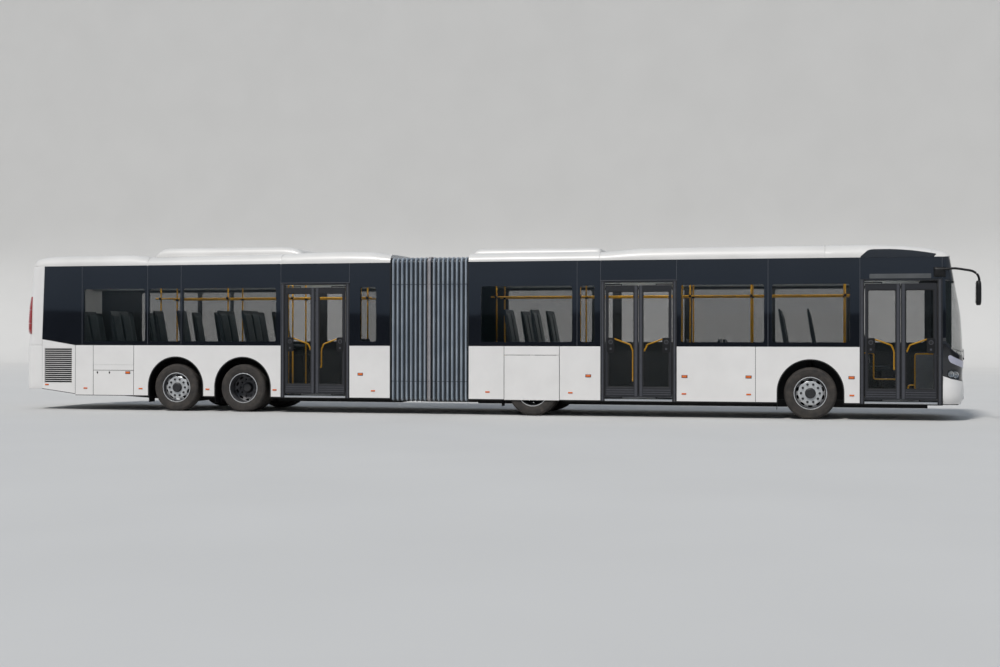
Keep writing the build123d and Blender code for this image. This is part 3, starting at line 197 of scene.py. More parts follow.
# %% Powder coats and metals
frame_powder = mottled("powder_coated_frame", ("#1f2024", "#27282c"), 30, (0.40, 0.52),
                       {"Specular IOR Level": 0.35}, (1500, 0.0002, 0.3))
yellow_powder = mottled("yellow_powder_coat", ("#f2ae12", "#ffbf22"), 25, (0.32, 0.42),
                        {"Coat Weight": 0.3})
leaf_profile = mottled("brushed_leaf_profile", ("#3b3c41", "#46474d"), 30, (0.36, 0.48),
                       {"Metallic": 0.15}, (1500, 0.0002, 0.3))
aluminium = mottled("extruded_aluminium", ("#b6b8ba", "#c6c8ca"), 40, (0.28, 0.42),
                    {"Metallic": 0.8})
cast_iron = mottled("cast_iron", ("#2b2b2b", "#3a3835"), 30, (0.55, 0.8), {"Metallic": 0.6},
                    (700, 0.0006, 0.5))
# Silver paint of the single wheels, and on the twin wheels' flange rings a painted highlight.
silver_and_flange_highlight = mottled("silver_and_flange_highlight_paint", ("#b3b4b5", "#cbcccc"), 12, (0.28, 0.42),
                       {"Metallic": 0.55}, (900, 0.0002, 0.2))
# Dark grey: brake dust on the twin discs, and painted shade inside every rim's barrel.
rim_dust_and_shade_grey = mottled("brake_dust_and_painted_shade_rim", ("#3c3c3e", "#57575a"), 14, (0.45, 0.65),
                     {"Metallic": 0.4}, (600, 0.0004, 0.35))
print("metals made")

# %% [markdown]
# Moulded plastics and laminates are even in colour and half dull, with the fine grain of their
# mould. EPDM, the rubber of window and door seals, is softer looking still and never shines.

# %% Plastics and rubber
black_plastic = mottled("moulded_black_plastic", ("#0c0c0e", "#131315"), 20, (0.4, 0.55),
                        {"Specular IOR Level": 0.3}, (1200, 0.0002, 0.25))
rubber = mottled("epdm_rubber", ("#131314", "#1b1b1d"), 30, (0.6, 0.75), None,
                 (900, 0.0003, 0.3))
interior_grey = mottled("interior_laminate", ("#7f8386", "#8b8f92"), 15, (0.45, 0.6))
ceiling_grey = mottled("ceiling_laminate", ("#a3a7a8", "#afb2b3"), 8, (0.5, 0.65))
dash_plastic = mottled("dash_plastic", ("#1c1d20", "#25262a"), 25, (0.5, 0.65), None,
                       (1200, 0.0003, 0.4))
seat_shell = mottled("seat_shell", ("#2a3035", "#343b41"), 18, (0.3, 0.45))
nut_cap = mottled("nut_cap_plastic", ("#1d1d1f", "#29292b"), 40, (0.35, 0.5), None,
                  (900, 0.0002, 0.2))
hatch_grey = mottled("hatch_plastic", ("#c9cac8", "#d3d4d2"), 10, (0.4, 0.5), None,
                     (800, 0.0003, 0.2))
print("plastics made")

# %% [markdown]
# A tyre is black rubber that dust has turned brown-grey in patches.
# The road's dust is drawn as a noise with three tones, and where it lies thick the rubber is
# paler and has lost its gloss.

# %% Tyre rubber
tyre_rubber = mottled("tyre_rubber", ("#262524", "#383431", "#4c4640"), 9.0, (0.62, 0.9),
                      {"Specular IOR Level": 0.35}, (500, 0.0006, 0.35), 8.0, (0.25, 0.55, 0.85))
print("tyre rubber made")

# %% [markdown]
# Clear panes are tinted float glass, 6 mm thin, so they bend no light that the eye would notice.
# A thin dark film is the plain way to say so: part of the light goes straight through, the
# surface stays mirror smooth, and the sun still reaches the seats behind. Lenses are moulded
# acrylic in their own colour, with prisms of about 4 mm that the bump draws.

# %% Glass and lenses


def clear_glass(name, tint, share):
    """Thin glass: share is the part that its tint holds back, and the rest passes straight."""
    material, tree, shader, place = new_material(
        name, {"Alpha": share, "IOR": 1.5, "Roughness": 0.01, "Specular IOR Level": 0.5})
    haze = add(tree, "ShaderNodeTexNoise", {"Scale": 1.3, "Detail": 2.0}, {"Vector": place})
    colour = ramp(tree, haze.outputs["Fac"], [(0.2, linear(tint[0])), (0.8, linear(tint[1]))])
    tree.links.new(shader.inputs["Base Color"], colour)
    return material


window_glass = clear_glass("tinted_float_glass", ("#0b1112", "#0f1617"), 0.34)
door_glass = clear_glass("door_glass", ("#0e1415", "#12191a"), 0.20)
screen_glass = clear_glass("windscreen_glass", ("#1d2a2a", "#243232"), 0.26)
lamp_glass = clear_glass("headlamp_glass", ("#40464a", "#4a5054"), 0.22)
orange_lens = mottled("orange_lens", ("#c4500c", "#db6a12"), 90, (0.08, 0.15),
                      {"Coat Weight": 1.0}, (250, 0.0006, 0.4))
red_lens = mottled("red_lens", ("#8e0d12", "#a81418"), 90, (0.08, 0.15), {"Coat Weight": 1.0},
                   (250, 0.0006, 0.4))
chrome = mottled("vapour_coated_reflector", ("#d5d7d9", "#e4e5e6"), 20, (0.05, 0.1),
                 {"Metallic": 1.0}, (300, 0.0002, 0.1))
print("glass and lenses made")

# %% [markdown]
# The bellows cloth is a coated polyester: a fine twill under a dark blue film, its tone deepened
# as painted shade for the valleys between the folds. The twill is drawn at 12 mm, much coarser than
# it is, so that it shows at all. The folds are painted light grey where they stand out, a painted
# highlight for the sun on them, and the middle one has aluminium hoops.

# %% Bellows cloth
cloth_with_painted_valley_shade, cloth_tree, cloth_shader, cloth_place = new_material(
    "coated_cloth_with_painted_valley_shade", {"Sheen Weight": 0.15, "Roughness": 0.42})
cloth_dirt = add(cloth_tree, "ShaderNodeTexNoise", {"Scale": 2.5, "Detail": 6.0},
                 {"Vector": cloth_place})
# Dark blue cloth tones, deepened as painted shade for the valleys between the folds.
cloth_and_valley_shade_tone = ramp(cloth_tree, cloth_dirt.outputs["Fac"],
                  [(0.25, linear("#12171d")), (0.75, linear("#1c232b"))])
cloth_tree.links.new(cloth_shader.inputs["Base Color"], cloth_and_valley_shade_tone)
cloth_weave = add(cloth_tree, "ShaderNodeTexWave",
                  {"Scale": 26.0, "Distortion": 0.5, "bands_direction": "DIAGONAL"},
                  {"Vector": cloth_place})
cloth_bump = add(cloth_tree, "ShaderNodeBump", {"Distance": 0.0005, "Strength": 0.25},
                 {"Height": cloth_weave.outputs["Fac"]})
cloth_tree.links.new(cloth_shader.inputs["Normal"], cloth_bump.outputs["Normal"])
# Light grey on the folds where they stand out: a painted highlight.
fold_highlight = mottled("fold_profile_painted_highlight", ("#828c96", "#98a1aa"), 3, (0.30, 0.42), None,
                    (500, 0.0003, 0.2))
hoop_metal = mottled("bellows_hoop_aluminium", ("#9a9291", "#aca4a2"), 12, (0.35, 0.5),
                     {"Metallic": 0.3}, (500, 0.0003, 0.3))
print("materials so far", len(bpy.data.materials))

# %% [markdown]
# Seat covers are a short wool plush. It scatters light at its edges, which sheen gives, and its
# pile is drawn as a noise of 5 mm spots. The floor is speckled vinyl above and black
# underseal below, and the height decides which of the two shows.

# %% Seat plush and floor
seat_plush, plush_tree, plush_shader, plush_place = new_material(
    "seat_plush", {"Sheen Weight": 0.6, "Sheen Roughness": 0.4, "Roughness": 0.95})
plush_spots = add(plush_tree, "ShaderNodeTexVoronoi", {"Scale": 45.0}, {"Vector": plush_place})
plush_tone = ramp(plush_tree, plush_spots.outputs["Distance"],
                  [(0.0, linear("#3c5a60")), (0.35, linear("#24343b")), (1.0, linear("#1d2a31"))])
plush_tree.links.new(plush_shader.inputs["Base Color"], plush_tone)
plush_pile = add(plush_tree, "ShaderNodeTexNoise", {"Scale": 200.0, "Detail": 4.0},
                 {"Vector": plush_place})
plush_bump = add(plush_tree, "ShaderNodeBump", {"Distance": 0.001, "Strength": 0.5},
                 {"Height": plush_pile.outputs["Fac"]})
plush_tree.links.new(plush_shader.inputs["Normal"], plush_bump.outputs["Normal"])

floor_finish, floor_tree, floor_shader, floor_place = new_material(
    "vinyl_over_underseal", {"Roughness": 0.65})
floor_height = add(floor_tree, "ShaderNodeSeparateXYZ", links={"Vector": floor_place})
floor_above = add(floor_tree, "ShaderNodeMath", {"operation": "GREATER_THAN", 1: floor_z - 0.004},
                  {0: floor_height.outputs["Z"]})
floor_chips = add(floor_tree, "ShaderNodeTexNoise", {"Scale": 180.0, "Detail": 2.0},
                  {"Vector": floor_place})
vinyl_tone = ramp(floor_tree, floor_chips.outputs["Fac"],
                  [(0.35, linear("#4a4e52")), (0.65, linear("#54585c"))])
seal_tone = ramp(floor_tree, floor_chips.outputs["Fac"],
                 [(0.3, linear("#0e0e0f")), (0.8, linear("#1c1b19"))])
floor_mix = add(floor_tree, "ShaderNodeMix", {"data_type": "RGBA"},
                {0: floor_above.outputs[0], 6: seal_tone, 7: vinyl_tone})
floor_tree.links.new(floor_shader.inputs["Base Color"], floor_mix.outputs[2])
print("materials in all", len(bpy.data.materials))

# %% [markdown]
# ## From arrays to pieces
# A surface is a grid of points: rows by columns by three. Its faces are the quads between
# neighbours, worked out as one array. Several shapes join into one mesh by shifting indices.

# %% Grid and mesh helpers


def quads(rows, columns, close_rows=False, close_columns=False):
    """Quads of a grid: point (i, j) with (i, j+1), (i+1, j+1) and (i+1, j)."""
    index = np.arange(rows * columns).reshape(rows, columns)
    if close_rows:
        index = np.vstack([index, index[:1]])
    if close_columns:
        index = np.hstack([index, index[:, :1]])
    corners = (index[:-1, :-1], index[:-1, 1:], index[1:, 1:], index[1:, :-1])
    return np.stack(corners, axis=-1).reshape(-1, 4).tolist()


def grid(points, close_rows=False, close_columns=False):
    """A grid of points as a shape: its flat list of points and its quads."""
    rows, columns = points.shape[:2]
    return points.reshape(-1, 3), quads(rows, columns, close_rows, close_columns)


def shell(rows):
    """A solid from rows of closed loops: a tube of quads with one face at each end."""
    rows = np.asarray(rows, float)
    count, columns = rows.shape[:2]
    points, faces = grid(rows, close_columns=True)
    last = (count - 1) * columns
    faces += [list(range(columns))[::-1], list(range(last, last + columns))]
    return points, faces


def piece(name, shapes, material, body, smooth=35, node=None):
    """A mesh object from shapes: doubles merged, normals outwards, smooth up to an angle.

    A shape is points and faces, and a third entry where it has a material of its own. node is
    the CAD node whose place the piece takes.
    """
    points, faces, finishes, which, start = [], [], [material], [], 0
    for shape in shapes:
        own = shape[2] if len(shape) > 2 else material
        if own not in finishes:
            finishes.append(own)
        points.append(shape[0])
        faces += [[corner + start for corner in face] for face in shape[1]]
        which += [finishes.index(own)] * len(shape[1])
        start += len(shape[0])
    mesh = bpy.data.meshes.new(name)
    mesh.from_pydata(np.vstack(points).tolist(), [], faces)
    for finish in finishes:
        mesh.materials.append(finish)
    mesh.polygons.foreach_set("material_index", which)
    cleaned = bmesh.new()
    cleaned.from_mesh(mesh)
    bmesh.ops.remove_doubles(cleaned, verts=cleaned.verts, dist=0.00002)
    bmesh.ops.recalc_face_normals(cleaned, faces=cleaned.faces)
    cleaned.to_mesh(mesh)
    cleaned.free()
    mesh.shade_smooth()
    mesh.set_sharp_from_angle(angle=radians(smooth))
    made = bpy.data.objects.new(name, mesh)
    bpy.context.scene.collection.objects.link(made)
    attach(made, body)
    if node:
        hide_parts(node)
    return made


def finished(material, *shapes):
    """The same shapes with a material of their own."""
    return [(*shape[:2], material) for shape in shapes]


def placed(shape, origin, u_way, v_way, w_way):
    """Moves a shape from its own (u, v, w) to the bus: origin + u U + v V + w W."""
    axes = np.array([u_way, v_way, w_way], float)
    return (np.asarray(origin, float) + shape[0] @ axes, *shape[1:])


ground_ways = ((1, 0, 0), (0, 1, 0), (0, 0, 1))
front_ways = ((0, 1, 0), (0, 0, 1), (1, 0, 0))


def layers(rows, axis):
    """A solid through closed outlines: each row is a place along an axis and its outline there."""
    return shell([np.insert(np.asarray(outline, float), axis, place, axis=1)
                  for place, outline in rows])


print("faces of a closed ring of 4 by 3 points", len(quads(4, 3, close_rows=True)))

# %% [markdown]
# Flat sheets with holes, such as wall panels and glass, are cut like real ones: an outline and
# its holes as closed loops, filled, given a thickness and a rounded edge. A flat curve does the
# filling, and its mesh is then turned onto the bus's side.

# %% Cut sheets


def cut_sheet(loops, thickness, edge):
    """A flat sheet from closed loops of (u, v), the outline first: w is 0 at its front."""
    curve = bpy.data.curves.new("sheet", "CURVE")
    curve.dimensions = "2D"
    curve.fill_mode = "BOTH"
    curve.extrude = thickness / 2 - edge
    curve.bevel_depth = edge
    curve.bevel_resolution = 1
    curve.offset = -edge
    for loop in loops:
        spline = curve.splines.new("POLY")
        spline.points.add(len(loop) - 1)
        flat = np.zeros((len(loop), 4))
        flat[:, :2] = loop
        flat[:, 3] = 1
        spline.points.foreach_set("co", flat.ravel())
        spline.use_cyclic_u = True
    sheet = bpy.data.objects.new("sheet", curve)
    mesh = bpy.data.meshes.new_from_object(sheet)
    points = np.empty(len(mesh.vertices) * 3)
    mesh.vertices.foreach_get("co", points)
    faces = [list(polygon.vertices) for polygon in mesh.polygons]
    bpy.data.objects.remove(sheet)
    bpy.data.curves.remove(curve)
    bpy.data.meshes.remove(mesh)
    points = points.reshape(-1, 3)
    points[:, 2] -= points[:, 2].max()
    return points, faces


def rectangle(u_ends, v_ends, corner=0.0, steps=5):
    """A rectangle's loop, its corners quarter circles where corner is over zero."""
    (u0, u1), (v0, v1) = sorted(u_ends), v_ends
    if corner <= 0:
        return np.array([(u0, v0), (u1, v0), (u1, v1), (u0, v1)])
    turn = np.radians(np.concatenate([np.linspace(a, a + 90, steps) for a in (-90, 0, 90, 180)]))
    corners = np.repeat([(u1, v0), (u1, v1), (u0, v1), (u0, v0)], steps, axis=0)
    inward = np.repeat([(-1, 1), (-1, -1), (1, -1), (1, 1)], steps, axis=0) * corner
    return corners + inward + corner * np.stack([np.cos(turn), np.sin(turn)], axis=1)


def inset(ends, step):
    """A pair of ends, each moved inwards by step."""
    return ends[0] + step, ends[1] - step


def side_sheet(loops, side, y_ends, edge=0.002):
    """A sheet cut to loops of (x, z) on one side, between two distances from the middle."""
    sheet = cut_sheet(loops, y_ends[1] - y_ends[0], edge)
    return placed(sheet, (0, side * y_ends[1], 0), (1, 0, 0), (0, 0, 1), (0, side, 0))


def cross_sheet(loops, x_ends, edge=0.002):
    """A sheet cut to loops of (y, z) that stands across the bus."""
    sheet = cut_sheet(loops, x_ends[1] - x_ends[0], edge)
    return placed(sheet, (x_ends[1], 0, 0), *front_ways)


def arch_arc(axle_x, radius, steps=28):
    """The half circle over an axle, from back to front."""
    turn = np.linspace(np.pi, 0, steps)
    return np.stack([axle_x + radius * np.cos(turn), arch_centre_z + radius * np.sin(turn)], 1)


print("points of a rounded rectangle", len(rectangle((0, 1), (0, 1), 0.1)))

# %% [markdown]
# ## Profiles carried along paths
# Rails, seals and lips are one profile carried along a path. At each point of the path the
# profile stands in the plane across it, spanned by a fixed side direction and the cross product.
# A pillow is a domed form on a rectangle, for lenses, latches and cushions.

# %% Tubes, swept profiles and pillows


def carried(path, profile, side_way):
    """Rows of loops: a profile's a goes along side_way made square to the path, b across both."""
    path = np.asarray(path, float)
    ahead = np.gradient(path, axis=0)
    ahead /= np.linalg.norm(ahead, axis=1, keepdims=True)
    side_way = np.asarray(side_way, float)
    across = side_way - ahead * (ahead @ side_way)[:, None]
    across /= np.linalg.norm(across, axis=1, keepdims=True)
    upward = np.cross(ahead, across)
    profile = np.asarray(profile, float)
    return (path[:, None, :] + across[:, None, :] * profile[None, :, 0, None]
            + upward[:, None, :] * profile[None, :, 1, None])


def circle(radius, steps=10):
    """A round profile."""
    turn = np.linspace(0, 2 * np.pi, steps, endpoint=False)
    return radius * np.stack([np.cos(turn), np.sin(turn)], axis=1)


def tube(path, radius, side_way=(0, 1, 0), steps=10):
    """A round bar along a path."""
    return shell(carried(path, circle(radius, steps), side_way))


def bar(path, width, height, side_way, corner=0.003):
    """A bar of rounded rectangular profile along a path."""
    profile = rectangle((-width / 2, width / 2), (-height / 2, height / 2), corner, 3)
    return shell(carried(path, profile, side_way))


def bent(corners, radius, steps=6):
    """A path through corners, each replaced by a quadratic bend that starts radius before it."""
    corners = np.asarray(corners, float)
    before, here, after = corners[:-2], corners[1:-1], corners[2:]
    back = (before - here) / np.linalg.norm(before - here, axis=1, keepdims=True)
    fore = (after - here) / np.linalg.norm(after - here, axis=1, keepdims=True)
    start, end = here + back * radius, here + fore * radius
    t = np.linspace(0, 1, steps)[None, :, None]
    bends = (1 - t) ** 2 * start[:, None] + 2 * t * (1 - t) * here[:, None] + t**2 * end[:, None]
    return np.vstack([corners[:1], bends.reshape(-1, 3), corners[-1:]])


def pillow(half_u, half_v, depth, steps=9, power=4):
    """A dome on a rectangle: w is depth times the root of (1 - u^power)(1 - v^power)."""
    span = np.sin(np.linspace(-np.pi / 2, np.pi / 2, steps))
    u, v = np.meshgrid(span, span, indexing="ij")
    w = depth * np.sqrt((1 - np.abs(u) ** power) * (1 - np.abs(v) ** power))
    top = np.stack([half_u * u, half_v * v, w], -1)
    points, faces = grid(top)
    base_points, base_faces = grid(top * (1, 1, 0))
    shifted = [[corner + len(points) for corner in face[::-1]] for face in base_faces]
    return np.vstack([points, base_points]), faces + shifted


def on_wall(shape, x, z, side, y=half_width):
    """Sets a shape on a side wall's outer face, its w outwards."""
    return placed(shape, (x, side * y, z), (1, 0, 0), (0, 0, 1), (0, side, 0))


print("points of a pillow", len(pillow(0.2, 0.1, 0.02)[0]))

# %% [markdown]
# ## Studio and camera
# The camera stands where the photo's did: 26 m off the right side, at eye height, with a 50 mm
# lens, turned 12.5 degrees to the left.

# %% Camera
yaw, pitch, roll = radians(12.5), radians(0.227), radians(0.073)
camera_place = (6.457, -27.31, 1.467)
forward = np.array([-sin(yaw) * cos(pitch), cos(yaw) * cos(pitch), sin(pitch)])
level_right = np.array([cos(yaw), sin(yaw), 0.0])
level_up = np.cross(level_right, forward)
right = level_right * cos(roll) + level_up * sin(roll)
up = level_up * cos(roll) - level_right * sin(roll)
camera_data = bpy.data.cameras.new("camera")
camera_data.lens = 50.0
camera_data.sensor_width = 36.0
camera_data.clip_end = 500
camera = bpy.data.objects.new("camera", camera_data)
bpy.context.scene.collection.objects.link(camera)
pose = np.eye(4)
pose[:3, 0], pose[:3, 1], pose[:3, 2] = right, up, -forward
pose[:3, 3] = camera_place
camera.matrix_world = Matrix(pose.tolist())
bpy.context.scene.camera = camera
bpy.context.scene.view_settings.view_transform = "Standard"
print("camera at", [round(float(value), 2) for value in camera_place])

# %% [markdown]
# The light is a broad soft sun from high behind the camera's left shoulder and an even pale
# world. The floor is pale concrete that bends up into the backdrop. Mirror rays that leave the
# studio see a dark hedge up to about one degree and a blue-grey evening above it, because a
# printed glass band shows nothing but what it mirrors.

# %% Floor, backdrop and lights
floor_paint = mottled("studio_floor", ("#c3c2c0", "#c6c5c3"), 0.35, (0.8, 0.9), None,
                      (60, 0.001, 0.1), detail=2.0)
across_floor = np.linspace(-150, 150, 31)
sweep = np.linspace(0.1, np.pi / 2, 12)
run = np.concatenate([np.linspace(-150, 46, 12), 46 + 8 * np.sin(sweep), np.full(6, 54.0)])
rise = np.concatenate([np.zeros(12), 8 - 8 * np.cos(sweep), np.linspace(9, 40, 6)])
floor_points = np.stack(
    np.broadcast_arrays(across_floor[None, :], run[:, None], rise[:, None]), -1)
floor_flat, floor_faces = grid(floor_points)
floor_mesh = bpy.data.meshes.new("studio_floor")
floor_mesh.from_pydata(floor_flat.tolist(), [], floor_faces)
floor_mesh.materials.append(floor_paint)
floor_mesh.shade_smooth()
studio_floor = bpy.data.objects.new("studio_floor", floor_mesh)
bpy.context.scene.collection.objects.link(studio_floor)

sun_data = bpy.data.lights.new("soft_sun", "SUN")
sun_data.energy = 2.6
sun_data.angle = radians(9)
sun_data.color = (1.0, 0.975, 0.94)
sun = bpy.data.objects.new("soft_sun", sun_data)
sun.rotation_euler = (radians(38), 0, radians(-20))
bpy.context.scene.collection.objects.link(sun)

world = bpy.data.worlds.new("pale_studio")
world.use_nodes = True
bpy.context.scene.world = world
sky = world.node_tree
background = sky.nodes["Background"]
sky_place = add(sky, "ShaderNodeTexCoord")
sky_parts = add(sky, "ShaderNodeSeparateXYZ", links={"Vector": sky_place.outputs["Generated"]})
sky_height = add(sky, "ShaderNodeMapRange", {"From Min": -0.2, "From Max": 0.6},
                 {"Value": sky_parts.outputs["Z"]})
sky_colour = ramp(sky, sky_height.outputs["Result"],
                  [(0.0, linear("#8f9296")), (0.35, linear("#d6dade")), (1.0, linear("#b6c4d6"))])
hill_noise = add(sky, "ShaderNodeTexNoise", {"Scale": 9.0, "Detail": 5.0},
                 {"Vector": sky_place.outputs["Generated"]})
hill_line = add(sky, "ShaderNodeMath", {"operation": "MULTIPLY_ADD", 1: -0.012},
                {0: hill_noise.outputs["Fac"], 2: sky_parts.outputs["Z"]})
mirror_height = add(sky, "ShaderNodeMapRange", {"From Min": -0.02, "From Max": 0.08},
                    {"Value": hill_line.outputs[0]})
mirror_colour = ramp(sky, mirror_height.outputs["Result"], [
    (0.0, linear("#222326")), (0.315, linear("#2a2c30")), (0.335, linear("#93a4ba")),
    (0.60, linear("#a9bad0")), (1.0, linear("#c3cedb"))])
rays = add(sky, "ShaderNodeLightPath")
sky_mix = add(sky, "ShaderNodeMix", {"data_type": "RGBA"},
              {0: rays.outputs["Is Glossy Ray"], 6: sky_colour, 7: mirror_colour})
sky.links.new(background.inputs["Color"], sky_mix.outputs[2])
background.inputs["Strength"].default_value = 0.62

# %% [markdown]
# ## Side walls
# Each side is a welded frame with bonded panels. The frame is one sheet with all the openings,
# dark where the joints between panels show it. The white panels below the belt lie on it with
# 5 mm joints, and the glass band above is bonded in panes.

# %% Tables of the side: joints, windows and openings
joint = 0.008
front_joints = [axles[2] + 0.864, axles[1] - 0.762]
rear_joints = [axles[4] - 2.080, axles[4] - 0.618, axles[4] + 0.118]
front_windows = [
    (axles[2] - 1.007, front_joints[0] - 0.096),
    (front_joints[0] + 0.057, door_back["door_2"] - 0.1155),
    (door_front["door_2"] + 0.0835, front_joints[1] - 0.072),
    (front_joints[1] + 0.073, door_back["door_1"] - 0.1745),
]
rear_windows = [
    (rear_joints[0] + 0.045, rear_joints[1] - 0.055),
    (rear_joints[1] + 0.033, rear_joints[2] - 0.022),
    (rear_joints[2] + 0.043, door_back["door_3"] - 0.1015),
    (door_front["door_3"] + 0.2215, door_front["door_3"] + 0.5495),
]
left_front_windows = front_windows + [
    (door_back["door_2"] + 0.070, door_front["door_2"] - 0.070),
    (door_back["door_1"] + 0.070, nose_seam_x - 0.120),
]
left_rear_windows = rear_windows[:3] + [
    (door_back["door_3"] + 0.070, door_front["door_3"] + 0.5495),
]
cover_x, cover_top_z = (axles[2] - 0.553, axles[2] + 0.527), 1.160
flap_x, flap_fold_z, flap_hinge_z = (tail_seam_x + 1.161, tail_seam_x + 2.064), 0.818, 0.9297
grille_x, grille_z = (tail_seam_x + 0.050, tail_seam_x + 0.686), (0.545, 1.274)
tail_panel_x = (tail_seam_x, -8.273)
tail_belt_z, tail_seam_lean = 1.452, 0.055
print("windows", len(front_windows) + len(rear_windows), "on the right side")

# %% [markdown]
# A wall's outline starts at the skirt and goes up and over each opening: square round a door or
# a lid, and along the upper half circle of a wheel arch. Each wall is then one cut sheet.

# %% Side frames


def wall_outline(x_ends, z_top, rows):
    """A wall's loop whose foot goes up and over each opening: rows of ends and top, or an axle."""
    path = [(x_ends[0], skirt_z)]
    if x_ends[0] == tail_seam_x:
        path = [(tail_seam_x, rear_skirt_z), (tail_seam_x + tail_rise, skirt_z)]
    for start, end, top in sorted(rows, key=lambda row: row[0]):
        if top is None:
            arc = arch_arc((start + end) / 2, arch_radius)
            path += [(start, skirt_z), *map(tuple, arc), (end, skirt_z)]
        else:
            path += [(start, skirt_z), (start, top), (end, top), (end, skirt_z)]
    return np.array([*path, (x_ends[1], skirt_z), (x_ends[1], z_top), (x_ends[0], z_top)])


def arch_row(axle_x):
    """An arch as a row of wall_outline."""
    return (axle_x - arch_radius, axle_x + arch_radius, None)


def door_row(name):
    """A doorway as a row of wall_outline."""
    return (doors[name] - doorway_half, doors[name] + doorway_half, doorway_top_z)


flat_edges = 15
cover_row = (*cover_x, cover_top_z)
flap_row = (*flap_x, flap_hinge_z)
front_span, rear_span = (front_back_x, nose_seam_x), (tail_seam_x, rear_front_x)
for name, node, body, side, span, rows, windows, holes in (
    ("front_frame_right", "front_side_right", "front_section", -1, front_span,
     [arch_row(axles[1]), cover_row, door_row("door_2"), door_row("door_1")], front_windows, []),
    ("front_frame_left", "front_side_left", "front_section", 1, front_span,
     [arch_row(axles[1]), cover_row], left_front_windows, []),
    ("rear_frame_right", "rear_side_right", "rear_section", -1, rear_span,
     [arch_row(axles[3]), arch_row(axles[4]), flap_row, door_row("door_3")], rear_windows,
     [rectangle(grille_x, grille_z)]),
    ("rear_frame_left", "rear_side_left", "rear_section", 1, rear_span,
     [arch_row(axles[3]), arch_row(axles[4])], left_rear_windows, []),
):
    loops = [wall_outline(span, band_top_z, rows)]
    loops += [rectangle(ends, window_z, 0.040) for ends in windows] + holes
    sheet = side_sheet(loops, side, (inner_half, half_width - 0.0065), 0.001)
    piece(name, [sheet], wall_primer, body, flat_edges, node=node)
    print(name, "openings", len(loops) - 1)

# %% [markdown]
# ## White panels
# A lower panel is 6 mm thick with a soft edge, so light catches the joints. The tail's panel has
# a rising foot and, under the band, a rising top edge. A panel with the grille has it cut out.

# %% White panels
plain = (skirt_z, belt_z)
right_front_panels = [
    ((front_back_x, cover_x[0]), plain),
    (cover_x, (cover_top_z, belt_z)),
    ((cover_x[1], door_back["door_2"]), plain),
    ((door_front["door_2"], 5.513), plain),
    ((5.513, door_back["door_1"]), plain),
]
left_front_panels = [
    ((front_back_x, cover_x[0]), plain),
    (cover_x, (cover_top_z, belt_z)),
    ((cover_x[1], 2.602), plain),
    ((2.602, 4.063), plain),
    ((4.063, 5.513), plain),
    ((5.513, 7.389), plain),
    ((7.389, nose_seam_x), plain),
]
right_rear_panels = [
    ((tail_panel_x[1], flap_x[0]), plain),
    (flap_x, (flap_hinge_z - 0.003, belt_z)),
    ((flap_x[1], door_back["door_3"]), plain),
    ((door_front["door_3"], rear_front_x), plain),
]
left_rear_panels = [
    ((tail_panel_x[1], flap_x[1]), plain),
    ((flap_x[1], -3.799), plain),
    ((-3.799, rear_front_x), plain),
]


def panel_loop(row):
    """A white panel's loop with its joints left open, cut round the arches that it meets."""
    (x0, x1), (z0, z1) = row
    path = [(x0 + joint / 2, z0 + (joint / 2 if z0 > skirt_z else 0))]
    for axle_x in sorted(axles.values()):
        if x0 < axle_x - arch_radius and axle_x + arch_radius < x1:
            arc = arch_arc(axle_x, arch_radius)
            path += [(axle_x - arch_radius, z0), *map(tuple, arc), (axle_x + arch_radius, z0)]
    return np.array([*path, (x1 - joint / 2, path[0][1]), (x1 - joint / 2, z1),
                     (x0 + joint / 2, z1)])


def rubber_and_shade_foot_strip(x0, z0, x1, z1, side):
    """A dark rubber strip along a panel's foot, 12 mm high, from one foot point to the next: it is
    also painted shade for the underside below the skirt.
    """
    loop = np.array([(x0, z0), (x1, z1), (x1, z1 + 0.012), (x0, z0 + 0.012)])
    return (*side_sheet([loop], side, (half_width - 0.002, half_width + 0.0008), 0.0004), rubber)


def rubber_and_shade_foot_strips(row, side):
    """A panel's foot strips of rubber and painted shade, left out at the arches."""
    (x0, x1), (z0, _) = row
    if z0 > skirt_z:
        return []
    stops = [x0 + joint / 2]
    for axle_x in sorted(axles.values()):
        if x0 < axle_x < x1:
            stops += [axle_x - arch_radius, axle_x + arch_radius]
    stops.append(x1 - joint / 2)
    return [rubber_and_shade_foot_strip(x0, z0, x1, z0, side) for x0, x1 in zip(stops[::2], stops[1::2])]


def tail_panel(side, holes):
    """The panel next to the tail: its foot and its top edge both rise towards the back."""
    x0, x1 = tail_panel_x[0] + joint / 2, tail_panel_x[1] - joint / 2
    foot_z = rear_skirt_z + (skirt_z - rear_skirt_z) * (x1 - tail_seam_x) / tail_rise
    loop = np.array([(x0, rear_skirt_z), (x1, foot_z), (x1, belt_z), (x0, tail_belt_z - 0.003)])
    return [side_sheet([loop, *holes], side, (half_width - 0.006, half_width), 0.0025),
            rubber_and_shade_foot_strip(x0, rear_skirt_z, x1, foot_z, side)]


for name, body, side, rows in (
    ("front_panels_right", "front_section", -1, right_front_panels),
    ("front_panels_left", "front_section", 1, left_front_panels),
    ("rear_panels_right", "rear_section", -1, right_rear_panels),
    ("rear_panels_left", "rear_section", 1, left_rear_panels),
):
    skin_ends = (half_width - 0.006, half_width)
    shapes = [side_sheet([panel_loop(row)], side, skin_ends, 0.0025) for row in rows]
    for row in rows:
        shapes += rubber_and_shade_foot_strips(row, side)
    if body == "rear_section":
        shapes += tail_panel(side, [rectangle(grille_x, grille_z)] if side < 0 else [])
    piece(name, shapes, white_enamel, body, flat_edges)
    print(name, "panels and strips", len(shapes))

# %% [markdown]
# ## Lids
# A cover hides the upper part of each second axle's wheel, and swings up when the wheel comes
# off. It is a panel like its neighbours, so it is cut the same way, with a 6 mm gap round it.

